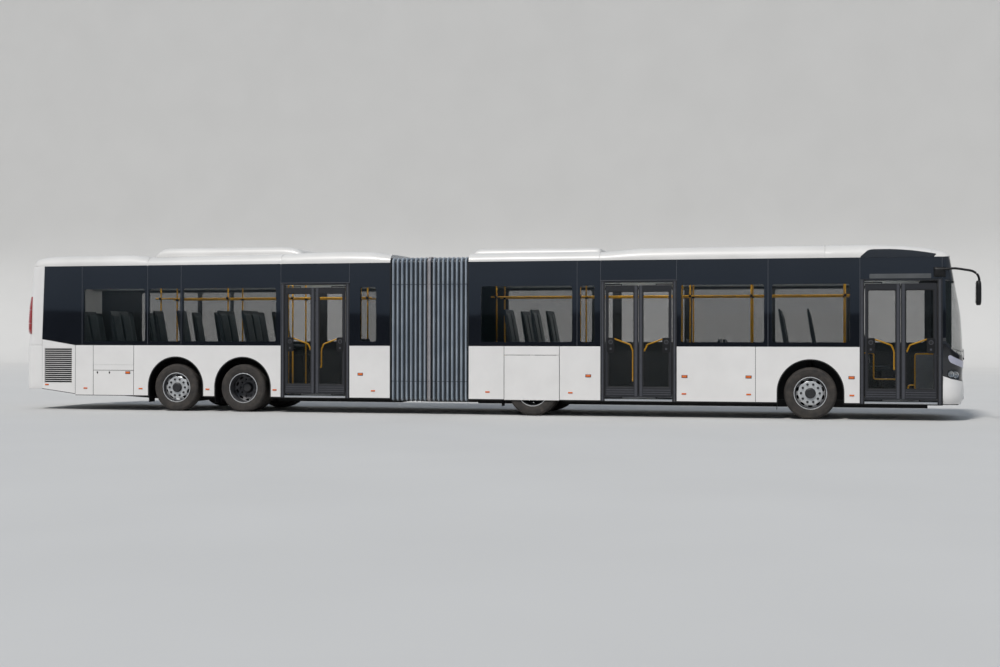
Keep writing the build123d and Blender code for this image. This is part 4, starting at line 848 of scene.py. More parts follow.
# %% Lids in the sides
lid_gap = 0.006
for name, side in (("wheel_cover_right", -1), ("wheel_cover_left", 1)):
    loop = rectangle(inset(cover_x, lid_gap), (skirt_z, cover_top_z - lid_gap))
    piece(name + "_skin", [side_sheet([loop], side, (half_width - 0.018, half_width))],
          white_enamel, name, flat_edges, node=name)
print("wheel covers made")

# %% [markdown]
# The service flap beside the engine is the same sheet, hung from its top edge. It has a fold
# line with a rubber seal behind it, two turning latches and a side marker, and all of that rides
# on the flap, so that it goes up with it.

# %% Service flap
flap_ends, fold_gap, flap_marker_x = inset(flap_x, lid_gap), 0.005, -7.095


def high_marker(x, side):
    """A side marker: a domed lens 96 mm long on a rubber base."""
    base = on_wall(pillow(0.056, 0.028, 0.005, 9, 6), x, 0.772, side)
    lens = on_wall(pillow(0.048, 0.021, 0.015, 9, 6), x, 0.772, side)
    return finished(rubber, base) + finished(orange_lens, lens)


flap_shapes = [
    side_sheet([rectangle(flap_ends, (skirt_z, flap_fold_z - fold_gap))], -1,
               (inner_half, half_width)),
    side_sheet([rectangle(flap_ends, (flap_fold_z + fold_gap, flap_hinge_z - 0.0007))], -1,
               (inner_half + 0.002, half_width), 0.0008)]
fold_seal = rectangle(inset(flap_ends, 0.002), (flap_fold_z - 0.030, flap_fold_z + 0.030))
flap_shapes += finished(rubber, side_sheet([fold_seal], -1,
                                           (inner_half + 0.002, inner_half + 0.006)))
for latch_x in (flap_x[0] + 0.095, flap_x[0] + 0.364):
    flap_shapes += finished(black_plastic,
                            on_wall(pillow(0.016, 0.016, 0.004, 9, 2), latch_x, 0.775, -1),
                            on_wall(pillow(0.008, 0.024, 0.006, 7, 3), latch_x, 0.769, -1))
flap_shapes += high_marker(flap_marker_x, -1)
# The flap's foot strip: rubber, and painted shade below the skirt.
flap_shapes.append(rubber_and_shade_foot_strip(flap_x[0] + 0.007, skirt_z, flap_x[1] - 0.007, skirt_z, -1))
piece("service_flap_skin", flap_shapes, white_enamel, "service_flap", flat_edges,
      node="service_flap")
print("service flap shapes", len(flap_shapes))

# %% [markdown]
# ## Radiator grille
# A frame with seventeen slots. Each blade is a thin bar tipped 20 degrees outwards so that rain
# runs off, and it shows dark from the side because one looks in under it.

# %% Grille
slot_count, grille_rim = 17, 0.010
blade_pitch = (grille_z[1] - grille_z[0] - 2 * grille_rim) / slot_count
blade_out, blade_up = 0.014 * cos(radians(20)), 0.014 * sin(radians(20))
blade = np.array([(blade_out, -blade_up), (blade_out, -blade_up + 0.003),
                  (-blade_out, blade_up + 0.003), (-blade_out, blade_up)])
blade_x = np.linspace(*inset(grille_x, grille_rim / 2), 3)
rim_loops = [rectangle(grille_x, grille_z, 0.004, 3),
             rectangle(inset(grille_x, grille_rim), inset(grille_z, grille_rim), 0.003, 3)]
grille_shapes = [side_sheet(rim_loops, -1, (half_width - 0.030, half_width - 0.001), 0.0015)]
for number in range(slot_count + 1):
    blade_z = grille_z[0] + grille_rim + number * blade_pitch
    outline = np.stack([-(half_width - 0.018 + blade[:, 0]), blade_z + blade[:, 1]], 1)
    grille_shapes.append(layers([(x, outline) for x in blade_x], 0))
grille_shapes += finished(black_plastic, side_sheet([rectangle(grille_x, grille_z)], -1,
                                                    (inner_half, inner_half + 0.004), 0.001))
piece("radiator_grille_blades", grille_shapes, white_enamel, "rear_section",
      node="radiator_grille")
print("grille blades", slot_count + 1, "pitch", round(blade_pitch * 1000, 1), "mm")

# %% [markdown]
# ## Arch lips and marker lamps
# A rubber lip edges each wheel arch and hides the panel's cut edge. Behind it a plastic liner
# follows the arch and keeps the spray off. Both are a bar carried along the same half circle.

# %% Arch lips and liners
for body, numbers in (("front_section", (1,)), ("rear_section", (3, 4))):
    lips, liners = [], []
    for number in numbers:
        for side in sides.values():
            arc = arch_arc(axles[number], arch_radius - 0.006, 40)
            foot = np.array([(axles[number] - arch_radius + 0.006, skirt_z + 0.002)])
            line = np.vstack([foot, arc, foot * (-1, 1) + (2 * axles[number], 0)])
            flat = np.stack([line[:, 0], np.zeros(len(line)), line[:, 1]], 1)
            lips.append(bar(flat + (0, side * (half_width - 0.006), 0), 0.020, 0.022, (0, 1, 0)))
            depth = 0.30 if number in (1, 4) else 0.46
            middle_y = side * (half_width - 0.012 - depth / 2)
            liners.append(bar(flat + (0, middle_y, 0), depth, 0.005, (0, 1, 0), 0.002))
    piece(body + "_arch_lips", lips, rubber, body)
    piece(body + "_arch_liners", liners, black_plastic, body)
    print(body, "arch lips", len(lips))

# %% [markdown]
# Orange markers show the bus's length at night: a row of large ones at knee height and a row of
# small ones near the skirt. A lens is a dome on a rectangle, flatter than half an egg.

# %% Marker lamps
high_markers = {"rear_section": (-2.125,), "front_section": (2.397, 4.210, 5.388, 7.232)}
low_markers = {"rear_section": (-8.042, -6.811, -5.347, -3.913, -1.864),
               "front_section": (0.439, 2.054, 4.200, 5.389, 7.238)}
low_marker_z, tail_marker = 0.448, (-8.918, 0.515)


def low_marker(x, z, side):
    """A small marker 88 mm long without a base."""
    return on_wall(pillow(0.044, 0.015, 0.011, 9, 6), x, z, side)


for body in high_markers:
    shapes = []
    for side in sides.values():
        for x in high_markers[body]:
            shapes += high_marker(x, side)
        shapes += [low_marker(x, low_marker_z, side) for x in low_markers[body]]
        if body == "rear_section":
            if side > 0:
                shapes += high_marker(flap_marker_x, side)
            shapes.append(low_marker(*tail_marker, side))
    piece(body + "_markers", shapes, orange_lens, body)
    print(body, "markers", len(shapes))

# %% [markdown]
# ## Glass band
# Every pane is printed black on its back and left clear at the window. The printed part is one
# sheet with the window cut out, and the clear part fills the hole flush. The last pane's foot
# rises towards the tail. Two panes meet in an 8 mm joint of light grey sealant.

# %% Panes
sealant = mottled("grey_sealant", ("#4a4d53", "#56595f"), 20, (0.5, 0.6), None,
                  (600, 0.0003, 0.2))
window_corner, fit = 0.045, 0.0003


def pane_rows(x_ends, joints, door_names):
    """The panes of a side: x ends and z ends, and a short one over each door's frame."""
    frames = [(door_back[name], door_front[name]) for name in door_names]
    places = sorted([*x_ends, *joints, *[x for ends in frames for x in ends]])
    places = [x for x in places if x <= x_ends[1]]
    rows = []
    for ends in zip(places, places[1:]):
        over_door = any(start <= ends[0] < end for start, end in frames)
        rows.append((ends, (doorway_top_z + 0.030 if over_door else belt_z, band_top_z)))
    return rows


def glazing(name, node, body, walls):
    """The glass of one section: walls are rows of side, x ends, joints, doors and windows."""
    printed, clear, seams = [], [], []
    for side, x_ends, joints, door_names, windows in walls:
        for (x0, x1), (z0, z1) in pane_rows(x_ends, joints, door_names):
            holes = [ends for ends in windows if x0 < ends[0] and ends[1] < x1]
            foot, head = z0 + 0.003, z1 - 0.002
            outline = rectangle(inset((x0, x1), 0.003), (foot, head), 0.006)
            if x0 == tail_seam_x:
                outline = np.array([(x0 + 0.003, tail_belt_z), (tail_panel_x[1], foot),
                                    (x1 - 0.003, foot), (x1 - 0.003, head),
                                    (x0 + 0.003 + tail_seam_lean, head)])
            loops = [outline] + [rectangle(ends, window_z, window_corner) for ends in holes]
            printed.append(side_sheet(loops, side, (half_width - glass, half_width), 0.0012))
            if x1 < x_ends[1]:
                seam = rectangle((x1 - 0.0032, x1 + 0.0032), (z0 + 0.004, z1 - 0.003))
                seams += finished(sealant, side_sheet(
                    [seam], side, (half_width - 0.006, half_width - 0.0015), 0.0005))
            for ends in holes:
                loop = rectangle(inset(ends, fit), inset(window_z, fit), window_corner)
                clear.append(side_sheet([loop], side, (half_width - 0.0055, half_width - 0.0005),
                                        0.0004))
    piece(name + "_printed", printed + seams, black_print, body, flat_edges,
          node=node)
    piece(name + "_clear", clear, window_glass, body, flat_edges)
    print(name, "panes", len(printed), "windows", len(clear))


left_door_ends = [door_back["door_2"], door_front["door_2"], door_back["door_1"]]
glazing("front_glass", "front_glazing", "front_section", [
    (-1, front_span, front_joints, ["door_2", "door_1"], front_windows),
    (1, front_span, front_joints + left_door_ends, [], left_front_windows),
])
glazing("rear_glass", "rear_glazing", "rear_section", [
    (-1, rear_span, rear_joints, ["door_3"], rear_windows),
    (1, rear_span, rear_joints + [door_back["door_3"]], [], left_rear_windows),
])

# %% [markdown]
# ## Doors
# A doorway has a powder-coated frame of three bars with a rubber edge, a drip rail above it that
# keeps the rain off, a bright tread below and a drive case inside. They are flat bars and
# sheets, so they are cut or carried in a straight line.

# %% Door frames
frame_inner, frame_outer, frame_back = 0.640, door_frame_half - 0.002, half_width - 0.012
edge_inner, edge_outer, ridge_half, drip_half, tread_half = 0.6385, 0.648, 0.678, 0.725, 0.634
drive_case = np.array([(-1.075, 2.56), (-1.22, 2.53), (-1.22, 2.736), (-1.065, 2.736)])
for body, names in (("front_section", ("door_1", "door_2")), ("rear_section", ("door_3",))):
    shapes, cases = [], []
    for name in names:
        x, foot, head = doors[name], skirt_z, doorway_top_z
        for way in (-1, 1):
            post = rectangle((x + way * frame_inner, x + way * frame_outer), (foot, head + 0.028))
            shapes.append(side_sheet([post], -1, (frame_back, half_width + 0.001), 0.004))
        lintel = rectangle((x - frame_inner, x + frame_inner), (head + 0.001, head + 0.028))
        shapes += finished(gloss_black, side_sheet([lintel], -1, (frame_back, half_width), 0.003))
        for way in (-1, 1):
            edge = rectangle((x + way * edge_inner, x + way * edge_outer), (foot, head), 0.003, 3)
            ridge = [(x + way * ridge_half, -half_width - 0.001, z) for z in (foot, 1.4, 2.55)]
            shapes += finished(rubber, side_sheet([edge], -1,
                                                  (half_width - 0.02, half_width + 0.003)))
            shapes += finished(leaf_profile, bar(ridge, 0.008, 0.030, (0, 1, 0)))
        if name != "door_1":
            drip = [(x + at, -half_width - 0.005, head + 0.042)
                    for at in (-drip_half, 0, drip_half)]
            shapes += finished(leaf_profile, bar(drip, 0.014, 0.012, (0, 1, 0)))
        tread = rectangle((x - tread_half, x + tread_half), (skirt_z + 0.002, floor_z - 0.003))
        shapes += finished(aluminium, side_sheet([tread], -1,
                                                 (half_width - 0.02, half_width + 0.004), 0.003))
        cases.append(layers([(x + at, drive_case) for at in (-doorway_half, 0, doorway_half)], 0))
    piece(body + "_door_frames", shapes, frame_powder, body)
    piece(body + "_drive_cases", cases, interior_grey, body)
    print(body, "doorways", len(names))

# %% [markdown]
# A leaf is a frame round a pane. A rubber seal holds the pane, a lighter profile and a rubber
# nose run down the edge where two leaves meet, and a kick plate with three ribs takes the
# knocks. Distances along a leaf are counted from the door's middle, so one function makes both.

# %% Leaf frame
leaf_z, leaf_y, leaf_face = (0.380, 2.480), (1.237, 1.273), 1.2745
leaf_light, leaf_light_z = (0.080, 0.580), (leaf_z[0] + 0.185, leaf_z[1] - 0.110)
leaf_span, post_y = 0.657, 1.203


def leaf_frame(x, way):
    """Frame, seal, profile, nose and ribbed kick plate of one leaf."""
    def ends(near, far):
        """Two distances from the leaf's inner edge as sorted places on x."""
        return sorted((x + way * near, x + way * far))

    light = ends(*leaf_light)
    shapes = [side_sheet([rectangle(ends(0.006, 0.624), leaf_z, 0.008, 3),
                          rectangle(light, leaf_light_z, 0.012)], -1, leaf_y, 0.003)]
    seal = [rectangle(inset(light, step), inset(leaf_light_z, step), corner)
            for step, corner in ((0.0005, 0.012), (0.016, 0.02))]
    shapes += finished(rubber, side_sheet(seal, -1, (1.2405, 1.2655), 0.0015))
    profile = rectangle(ends(0.024, 0.070), (0.392, 2.470), 0.006, 3)
    shapes += finished(leaf_profile, side_sheet([profile], -1, (1.268, 1.2755), 0.003))
    nose = [(x + way * 0.013, -1.255, z) for z in (leaf_z[0] + 0.01, 1.4, leaf_z[1] - 0.01)]
    shapes += finished(rubber, bar(nose, 0.030, 0.019, (0, 1, 0), 0.008))
    kick = rectangle(ends(0.078, 0.612), (0.392, 0.552), 0.006, 3)
    shapes += finished(frame_powder, side_sheet([kick], -1, (1.268, leaf_face), 0.002))
    for rib_z in (0.43, 0.472, 0.514):
        rib = [(x + way * at, -leaf_face, rib_z) for at in (0.085, 0.345, 0.605)]
        shapes += finished(leaf_profile, bar(rib, 0.004, 0.012, (0, 1, 0), 0.0015))
    return shapes


print("leaf", round(leaf_z[1] - leaf_z[0], 3), "m high")

# %% [markdown]
# Outside, a leaf carries a box with a ring and two buttons, domed so that a thumb finds them.
# Above and below it has a lug and a pin on the line that it turns about. Inside runs a yellow
# rail: a path with rounded bends that a circle is carried along.

# %% Leaf fittings
rail_ends = {("door_1", "rear"): 0.952, ("door_1", "front"): 1.278, ("door_2", "rear"): 0.712,
             ("door_2", "front"): 1.278, ("door_3", "rear"): 1.278, ("door_3", "front"): 0.930}


def push_buttons(x, way):
    """The box with its ring, its large rubber button and its small one."""
    box_x = x + way * 0.523
    box = rectangle((box_x - 0.075, box_x + 0.075), (1.215, 1.495), 0.03)
    ring = cut_sheet([circle(0.042, 24), circle(0.031, 24)], 0.003, 0.001)
    large, small = (pillow(radius, radius, 0.004, 9, 2) for radius in (0.026, 0.018))
    return (finished(black_plastic, side_sheet([box], -1, (1.261, leaf_face), 0.004))
            + finished(leaf_profile, on_wall(ring, box_x, 1.415, -1, leaf_face + 0.0025))
            + finished(rubber, on_wall(large, box_x, 1.415, -1, leaf_face))
            + finished(leaf_profile, on_wall(small, box_x, 1.285, -1, leaf_face)))


def leaf_hinges(x, way):
    """A lug and a pin at the leaf's foot and at its head, on the line that it turns about."""
    swing_x = x + way * leaf_span / 2
    shapes = []
    for z_ends in ((leaf_z[0], leaf_z[0] + 0.014), (leaf_z[1] - 0.014, leaf_z[1])):
        lug = rectangle((swing_x - 0.015, swing_x + 0.015), z_ends, 0.002, 3)
        shapes.append(side_sheet([lug], -1, (post_y - 0.015, leaf_y[0] + 0.002), 0.001))
    for z_ends in ((floor_z + 0.008, leaf_z[0] + 0.004), (leaf_z[1] - 0.004, 2.510)):
        pin = [(swing_x, -post_y, z) for z in (z_ends[0], sum(z_ends) / 2, z_ends[1])]
        shapes.append(tube(pin, 0.008))
    return shapes


def leaf_rail(x, way, end_z):
    """The grab rail: out from the leaf, across it, down, and back to it at end_z."""
    inner_y = -(leaf_y[0] - 0.034)
    path = [(0.463, -leaf_y[0], 1.473), (0.463, inner_y, 1.473), (0.160, inner_y, 1.365),
            (0.112, inner_y, 1.250), (0.112, inner_y, end_z - 0.001),
            (0.112, -leaf_y[0], end_z - 0.030)]
    rail = bent([(x + way * at, y, z) for at, y, z in path], 0.028)
    return finished(yellow_powder, tube(rail, 0.014, (0.3, 1, 0.2)))


for (name, leaf), end_z in rail_ends.items():
    x, way = doors[name], 1 if leaf == "front" else -1
    body = f"{name}_{leaf}_leaf"
    shapes = (leaf_frame(x, way) + push_buttons(x, way) + leaf_hinges(x, way)
              + leaf_rail(x, way, end_z))
    piece(body + "_frame", shapes, frame_powder, body, 20, node=body)
    light = sorted(x + way * at for at in leaf_light)
    pane = rectangle(inset(light, 0.002), inset(leaf_light_z, 0.002), 0.01)
    piece(body + "_pane", [side_sheet([pane], -1, (1.2515, 1.2585), 0.0005)], door_glass, body,
          flat_edges)
print("leaves", len(rail_ends))

# %% [markdown]
# ## Bellows
# The real one is a row of cloth folds on hoops, with a stronger double hoop in the middle. Its
# section is an upturned U with rounded shoulders: first come its points in (y, z) and the way
# outwards at each, from the foot of one side over the top to the foot of the other.

# %% Section of the bellows
folds, bellows_length = 17, 1.559
bellows_back_x = pivot_x - bellows_length / 2
bellows_foot_z, bellows_top_z = 0.261, 3.058
fold_depth, shoulder, cuff = 0.052, 0.110, 0.050
bend_start = (bellows_back_x + bellows_length, 0, 1.6)
bend_end = (bellows_back_x, 0, 1.6)


def u_curve(half, top, foot, corner, cuff_radius):
    """Half of an upturned U in (y, z) with its outward normals, from the foot to the middle."""
    turn = np.linspace(np.pi / 2, 0, 6)
    cuff_points = np.stack([half - cuff_radius * (1 - np.cos(turn)),
                            foot + cuff_radius * (1 - np.sin(turn))], 1)
    cuff_normals = np.stack([np.cos(turn), -np.sin(turn)], 1)
    rise = np.linspace(foot + cuff_radius, top - corner, 14)[1:]
    upright = np.stack([np.full(13, half), rise], 1)
    bow = np.linspace(0, np.pi / 2, 9)[1:]
    bow_points = np.stack([half - corner * (1 - np.cos(bow)), top - corner * (1 - np.sin(bow))], 1)
    bow_normals = np.stack([np.cos(bow), np.sin(bow)], 1)
    flat = np.linspace(half - corner, 0, 7)[1:]
    roof = np.stack([flat, np.full(6, top)], 1)
    points = np.vstack([cuff_points, upright, bow_points, roof])
    normals = np.vstack([cuff_normals, np.tile((1.0, 0.0), (13, 1)), bow_normals,
                         np.tile((0.0, 1.0), (6, 1))])
    return points, normals


def whole_u(points, normals):
    """Both halves of the U as one line from the right foot to the left foot."""
    mirror = np.array([-1.0, 1.0])
    return (np.vstack([points * mirror, points[-2::-1]]),
            np.vstack([normals * mirror, normals[-2::-1]]))


outer_u, outer_way = whole_u(*u_curve(half_width, bellows_top_z, bellows_foot_z, shoulder, cuff))
inner_u, inner_way = whole_u(*u_curve(half_width - 0.140, 2.765, bellows_foot_z, 0.05, 0.004))
print("points round the bellows", len(outer_u))

# %% [markdown]
# The cloth, its dark tone painted shade for the valleys, is the U carried along the bus, 52 mm in,
# with a small wave. Each fold is half an ellipse, 48 mm wide, carried round the U in the light grey
# of the painted highlight, so the valleys between show the dark cloth, and two rows of rubber clips
# lie over the folds.

# %% Folds


def bellows_rows(x_values, swell, inner_swell):
    """Loops across the bellows: the outer U sunk by its folds, then the inner U back."""
    outer = outer_u[None] - outer_way[None] * swell[:, None, None]
    inner = inner_u[None, ::-1] + inner_way[None, ::-1] * inner_swell[:, None, None]
    loop = np.concatenate([outer, inner], axis=1)
    x = np.broadcast_to(np.asarray(x_values)[:, None, None], (*loop.shape[:2], 1))
    return np.concatenate([x, loop], axis=2)


fold_pitch = bellows_length / folds
valley_x = bellows_back_x + np.linspace(0, bellows_length, 4 * folds + 1)
wave = np.cos(2 * np.pi * (valley_x - bellows_back_x) / fold_pitch)
cloth = shell(bellows_rows(valley_x, fold_depth - 0.010 * wave, 0.02 * (1 - wave) / 2))
rib_turn = np.linspace(0, np.pi, 9)
rib_profile = np.vstack([np.stack([0.0240 * np.cos(rib_turn), fold_depth * np.sin(rib_turn)], 1),
                         [(-0.021, -0.012), (0.021, -0.012)]])
# Each fold profile takes the light grey of the painted highlight.
ribs = []
for number in range(folds):
    middle_x = bellows_back_x + (number + 0.5) * fold_pitch
    line = outer_u - outer_way * fold_depth
    outwards = outer_way[:, None] * rib_profile[None, :, 1, None]
    flat = line[:, None] + outwards
    x = np.broadcast_to(middle_x + rib_profile[None, :, 0, None], (*flat.shape[:2], 1))
    ribs += finished(fold_highlight, shell(np.concatenate([x, flat], axis=2)))
clips = []
for clip_z in (0.642, 2.527):
    for number in range(folds):
        across_fold = np.linspace(0.26, 0.74, 7)
        sink = fold_depth * (1 - np.sqrt(np.clip(1 - (2 * across_fold - 1) ** 2 / 0.274, 0, 1)))
        x = bellows_back_x + (number + across_fold) * fold_pitch
        for side in sides.values():
            line = np.stack([x, side * (half_width + 0.001 - sink), np.full(7, clip_z)], 1)
            clips += finished(rubber, bar(line, 0.010, 0.004, (0, 0, 1), 0.001))
bellows = piece("bellows_folds", [cloth, *ribs, *clips], cloth_with_painted_valley_shade, "front_section", 50,
                node="bellows")
print("fold profiles", len(ribs), "and clips", len(clips))

# %% [markdown]
# The double middle hoop is two round bars that lie on the middle fold, 36 mm apart. At each end
# the bellows is clamped to a rubber-covered frame on its section, and a round guard closes the
# turntable from below.

# %% Middle hoop and end frames
hoop_shapes = []
for hoop_x in (pivot_x - 0.018, pivot_x + 0.018):
    line = outer_u - outer_way * 0.002
    path = np.stack([np.full(len(line), hoop_x), line[:, 0], line[:, 1]], 1)
    hoop_shapes.append(tube(path, 0.011, (1, 0, 0), 8))
hoop = piece("bellows_hoop", hoop_shapes, hoop_metal, "front_section", 50)
for soft in (bellows, hoop):
    soft.parent = None
    soft.matrix_world = Matrix.Identity(4)
    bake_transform(soft)

frame_u = [rectangle((-1.272, 1.272), (bellows_foot_z, 3.05), 0.10, 7),
           rectangle((-1.14, 1.14), (bellows_foot_z + 0.03, 2.75), 0.05, 5)]
for body, ends in (("front_section", (bend_start[0] - 0.002, front_back_x)),
                   ("rear_section", (rear_front_x, bend_end[0] + 0.002))):
    piece(body + "_bellows_frame", [cross_sheet(frame_u, ends, 0.002)], rubber, body)
pan = cut_sheet([circle(0.740, 48) + (pivot_x, 0)], 0.014, 0.004)
piece("turntable_guard", [placed(pan, (0, 0, 0.262), *ground_ways)], black_plastic,
      "front_section")
print("bellows folds", folds, "pitch", round(fold_pitch * 1000, 1), "mm")

# %% [markdown]
# ## Roof
# The roof is a coved shell with a shallow crown. Its height along the bus follows the real
# silhouette: high and nearly level, dipping beside the roof units and running down at the ends.
# Across the bus it is a quarter ellipse at each edge and a parabola between. Grooves 12 mm deep
# mark the joints between the roof's sections.

# %% Roof shells
cove, crown, roof_lift = 0.200, 0.015, 0.012
roof_heights = {
    "front": [(0.062, 3.105), (0.13, 3.107), (2.58, 3.112), (2.68, 3.111), (3.0, 3.140),
              (3.38, 3.169), (4.5, 3.180), (7.4, 3.180), (7.75, 3.175), (8.13, 3.158),
              (8.49, 3.121), (8.67, 3.095), (8.77, 3.078), (8.87, 3.056), (8.94, 3.030),
              (8.985, 3.002), (9.015, 2.968), (9.023, 2.945)],
    "rear": [(-9.350, 2.945), (-9.346, 2.975), (-9.33, 3.02), (-9.29, 3.065), (-9.22, 3.102),
             (-9.08, 3.130), (-8.85, 3.150), (-8.39, 3.160), (-7.05, 3.163), (-6.85, 3.140),
             (-6.67, 3.111), (-6.4, 3.111), (-3.6, 3.150), (-3.2, 3.172), (-2.4, 3.178),
             (-1.9, 3.160), (-1.54, 3.112), (-1.517, 3.108)],
}
roof_ends = {"front": (9.025, 1, 0.110, 9.0), "rear": (-9.352, -1, 0.250, 20.0)}
roof_seams = {"front": (2.613, 6.761, 8.690), "rear": (-6.660, -3.780)}


def averaged(place, places, values, steps):
    """A table's value between its rows, averaged over a few steps to both sides."""
    return np.mean([np.interp(place + step, places, values) for step in steps], axis=0)


def near_end(part, x):
    """1 at a rounded end and 0 from 1.2 m before it: the end's curve fades out in between."""
    return np.clip(1 - np.abs(x - roof_ends[part][0]) / 1.2, 0, 1) ** 1.5


def end_line(part, y):
    """How far back of its foremost point a rounded end lies at each y."""
    _, way, corner, radius = roof_ends[part]
    sine = (half_width - corner) / (radius - corner)
    corner_x = -radius + (radius - corner) * np.sqrt(1 - sine**2)
    wide = -radius + np.sqrt(radius**2 - np.clip(np.abs(y), 0, radius * sine) ** 2)
    side_step = np.clip(np.abs(y) - (half_width - corner), 0, corner)
    tight = corner_x + np.sqrt(corner**2 - side_step**2)
    return way * np.where(np.abs(y) < radius * sine, wide, tight)


def roof_point(part, x, turn, outwards=0.0):
    """A point of the roof: turn is 0 at the right edge, 1 at the cove's top, 2 in the middle."""
    level = averaged(x, *np.array(roof_heights[part]).T, (-0.02, -0.01, 0, 0.01, 0.02))
    swing = np.clip(turn, 0, 1) * np.pi / 2
    edge_y = half_width - cove
    y_cove = edge_y + (cove + outwards) * np.cos(swing)
    y_crown = edge_y * (2 - turn)
    y = np.where(turn <= 1, y_cove, y_crown)
    top = level + roof_lift
    z_cove = band_top_z + (top - band_top_z + outwards) * np.sin(swing)
    z_crown = top + outwards + crown * (1 - (y_crown / edge_y) ** 2)
    z = np.where(turn <= 1, z_cove, z_crown)
    return np.stack(np.broadcast_arrays(x + end_line(part, y) * near_end(part, x), -y, z), -1)


def roof_rows(part, x_values):
    """Loops across the roof: over the top from right to left and back along the underside."""
    turn = np.concatenate([np.linspace(0, 1, 11), np.linspace(1, 2, 8)[1:]])
    x = np.asarray(x_values)[:, None]
    half = roof_point(part, x, turn[None])
    seam_gap = np.min(np.abs(x - np.array(roof_seams[part])[None]), axis=1)[:, None]
    half[..., 2] -= np.interp(seam_gap, [0.0, 0.003, 0.008], [0.012, 0.012, 0.0])
    other = half[:, -2::-1] * (1, -1, 1)
    under_y, under_z = np.array([(1.222, 2.956), (1.222, 2.756), (0.6, 2.752), (-0.6, 2.752),
                                 (-1.222, 2.756), (-1.222, 2.956)]).T
    under_x = x + end_line(part, under_y)[None] * near_end(part, x)
    under = np.stack([under_x, np.broadcast_to(under_y, under_x.shape),
                      np.broadcast_to(under_z, under_x.shape)], -1)
    return np.concatenate([half, other, under], axis=1)


def roof_places(part):
    """Where the loops stand: at the silhouette's points, between them, and at each groove."""
    places = np.array(roof_heights[part])[:, 0]
    even = np.linspace(places[0], places[-1], 60)
    grooves = [seam + step for seam in roof_seams[part] for step in (-0.008, -0.003, 0.003, 0.008)]
    ends = np.linspace(0, 0.35, 16)[1:-1] ** 1.4
    near = places[-1] - ends if part == "front" else places[0] + ends
    return np.unique(np.round(np.concatenate([places, even, grooves, near]), 4))


for part in ("front", "rear"):
    places = roof_places(part)
    piece(part + "_roof_shell", [shell(roof_rows(part, places))], roof_enamel,
          part + "_section", 30, node=part + "_roof")
    print(part, "roof rows", len(places))

# %% [markdown]
# The covers of the roof units are low boxes with soft shoulders. A cover's height is a product
# of two ramps, one along and one across, each rising from the edge like a quarter of a
# superellipse. A lip runs round the foot. On top are the round fan grilles of the air unit. The
# escape hatches are plastic domes, flat enough that only their edge shows.

# %% Roof units


def ramp_up(distance, width):
    """Rises from 0 at the edge to 1 at width: (1 - (1 - d/width)^2.6)^(1/2.6)."""
    left = 1 - np.clip(distance / width, 0, 1)
    return (1 - left**2.6) ** (1 / 2.6)


def unit_cover(x_ends, foot_z, top_z, half, slopes):
    """A roof unit's cover on a grid of x and y, closed underneath."""
    (x0, x1), (back, front) = x_ends, slopes
    u = np.unique(np.concatenate([x0 + back * np.linspace(0, 1, 10) ** 1.5, [x0 + 0.4, x1 - 0.4],
                                  x1 - front * np.linspace(0, 1, 10) ** 1.5]))
    v = np.unique(np.concatenate([-half + 0.16 * np.linspace(0, 1, 8) ** 1.5, [0.0],
                                  half - 0.16 * np.linspace(0, 1, 8) ** 1.5]))
    along = np.minimum(ramp_up(u - x0, back), ramp_up(x1 - u, front))[:, None]
    over = np.minimum(ramp_up(v + half, 0.16), ramp_up(half - v, 0.16))[None]
    z = foot_z + (top_z - foot_z) * along * over
    x, y = np.broadcast_arrays(u[:, None], v[None])
    top = np.stack([x, y, z], -1)
    points, faces = grid(top)
    base, base_faces = grid(np.stack([x, y, np.full_like(x, foot_z)], -1))
    shifted = [[corner + len(points) for corner in face[::-1]] for face in base_faces]
    return np.vstack([points, base]), faces + shifted


def ring_plate(x, y, z, radius):
    """A round grille flat on the roof: a rim and nine thin blades."""
    rim = cut_sheet([circle(radius, 40) + (x, y), circle(radius * 0.93, 40) + (x, y)], 0.016, 0.003)
    shapes = [placed(rim, (0, 0, z), *ground_ways)]
    for number in range(-4, 5):
        offset = number * radius * 0.2
        reach = np.sqrt(radius**2 - offset**2) * 0.95
        line = [(x + offset, y + at * reach, z - 0.006) for at in (-1, 0, 1)]
        shapes.append(bar(line, 0.006, 0.008, (1, 0, 0), 0.001))
    return shapes


for part, x_ends, top_z, slopes, lip_ends, (lip_z, lip_height, lip_edge), grilles in (
    ("rear", (-6.643, -3.430), 3.322, (0.30, 0.62), (-6.62, -3.52), (3.165, 0.045, 0.012),
     [(x, y, 0.24) for x in (-6.0, -5.4, -4.8) for y in (-0.42, 0.42)]),
    ("front", (0.080, 2.600), 3.222, (0.17, 0.12), (0.085, 2.595), (3.135, 0.030, 0.010),
     [(1.9, 0.0, 0.20)]),
):
    lip = cut_sheet([rectangle(lip_ends, (-0.985, 0.985), 0.06)], lip_height, lip_edge)
    shapes = [unit_cover(x_ends, 3.085, top_z, 0.960, slopes),
              placed(lip, (0, 0, lip_z), *ground_ways)]
    for x, y, radius in grilles:
        shapes += finished(black_plastic, *ring_plate(x, y, top_z + 0.002, radius))
    piece(part + "_roof_unit", shapes, roof_enamel, part + "_section")
    print(part, "roof unit with", len(grilles), "grilles")
for body, x in (("front_section", 5.2), ("rear_section", -2.5)):
    dome = placed(pillow(0.42, 0.36, 0.022, 11, 6), (x, 0, 3.176), *ground_ways)
    piece(body + "_roof_hatch", [dome], hatch_grey, body)

# %% [markdown]
# Over the first door the dark band climbs onto the cove as a domed panel. It is cut from the
# roof's own surface, 3 mm proud of it: each x has its own height, and the cove's angle for that
# height is its arc sine.

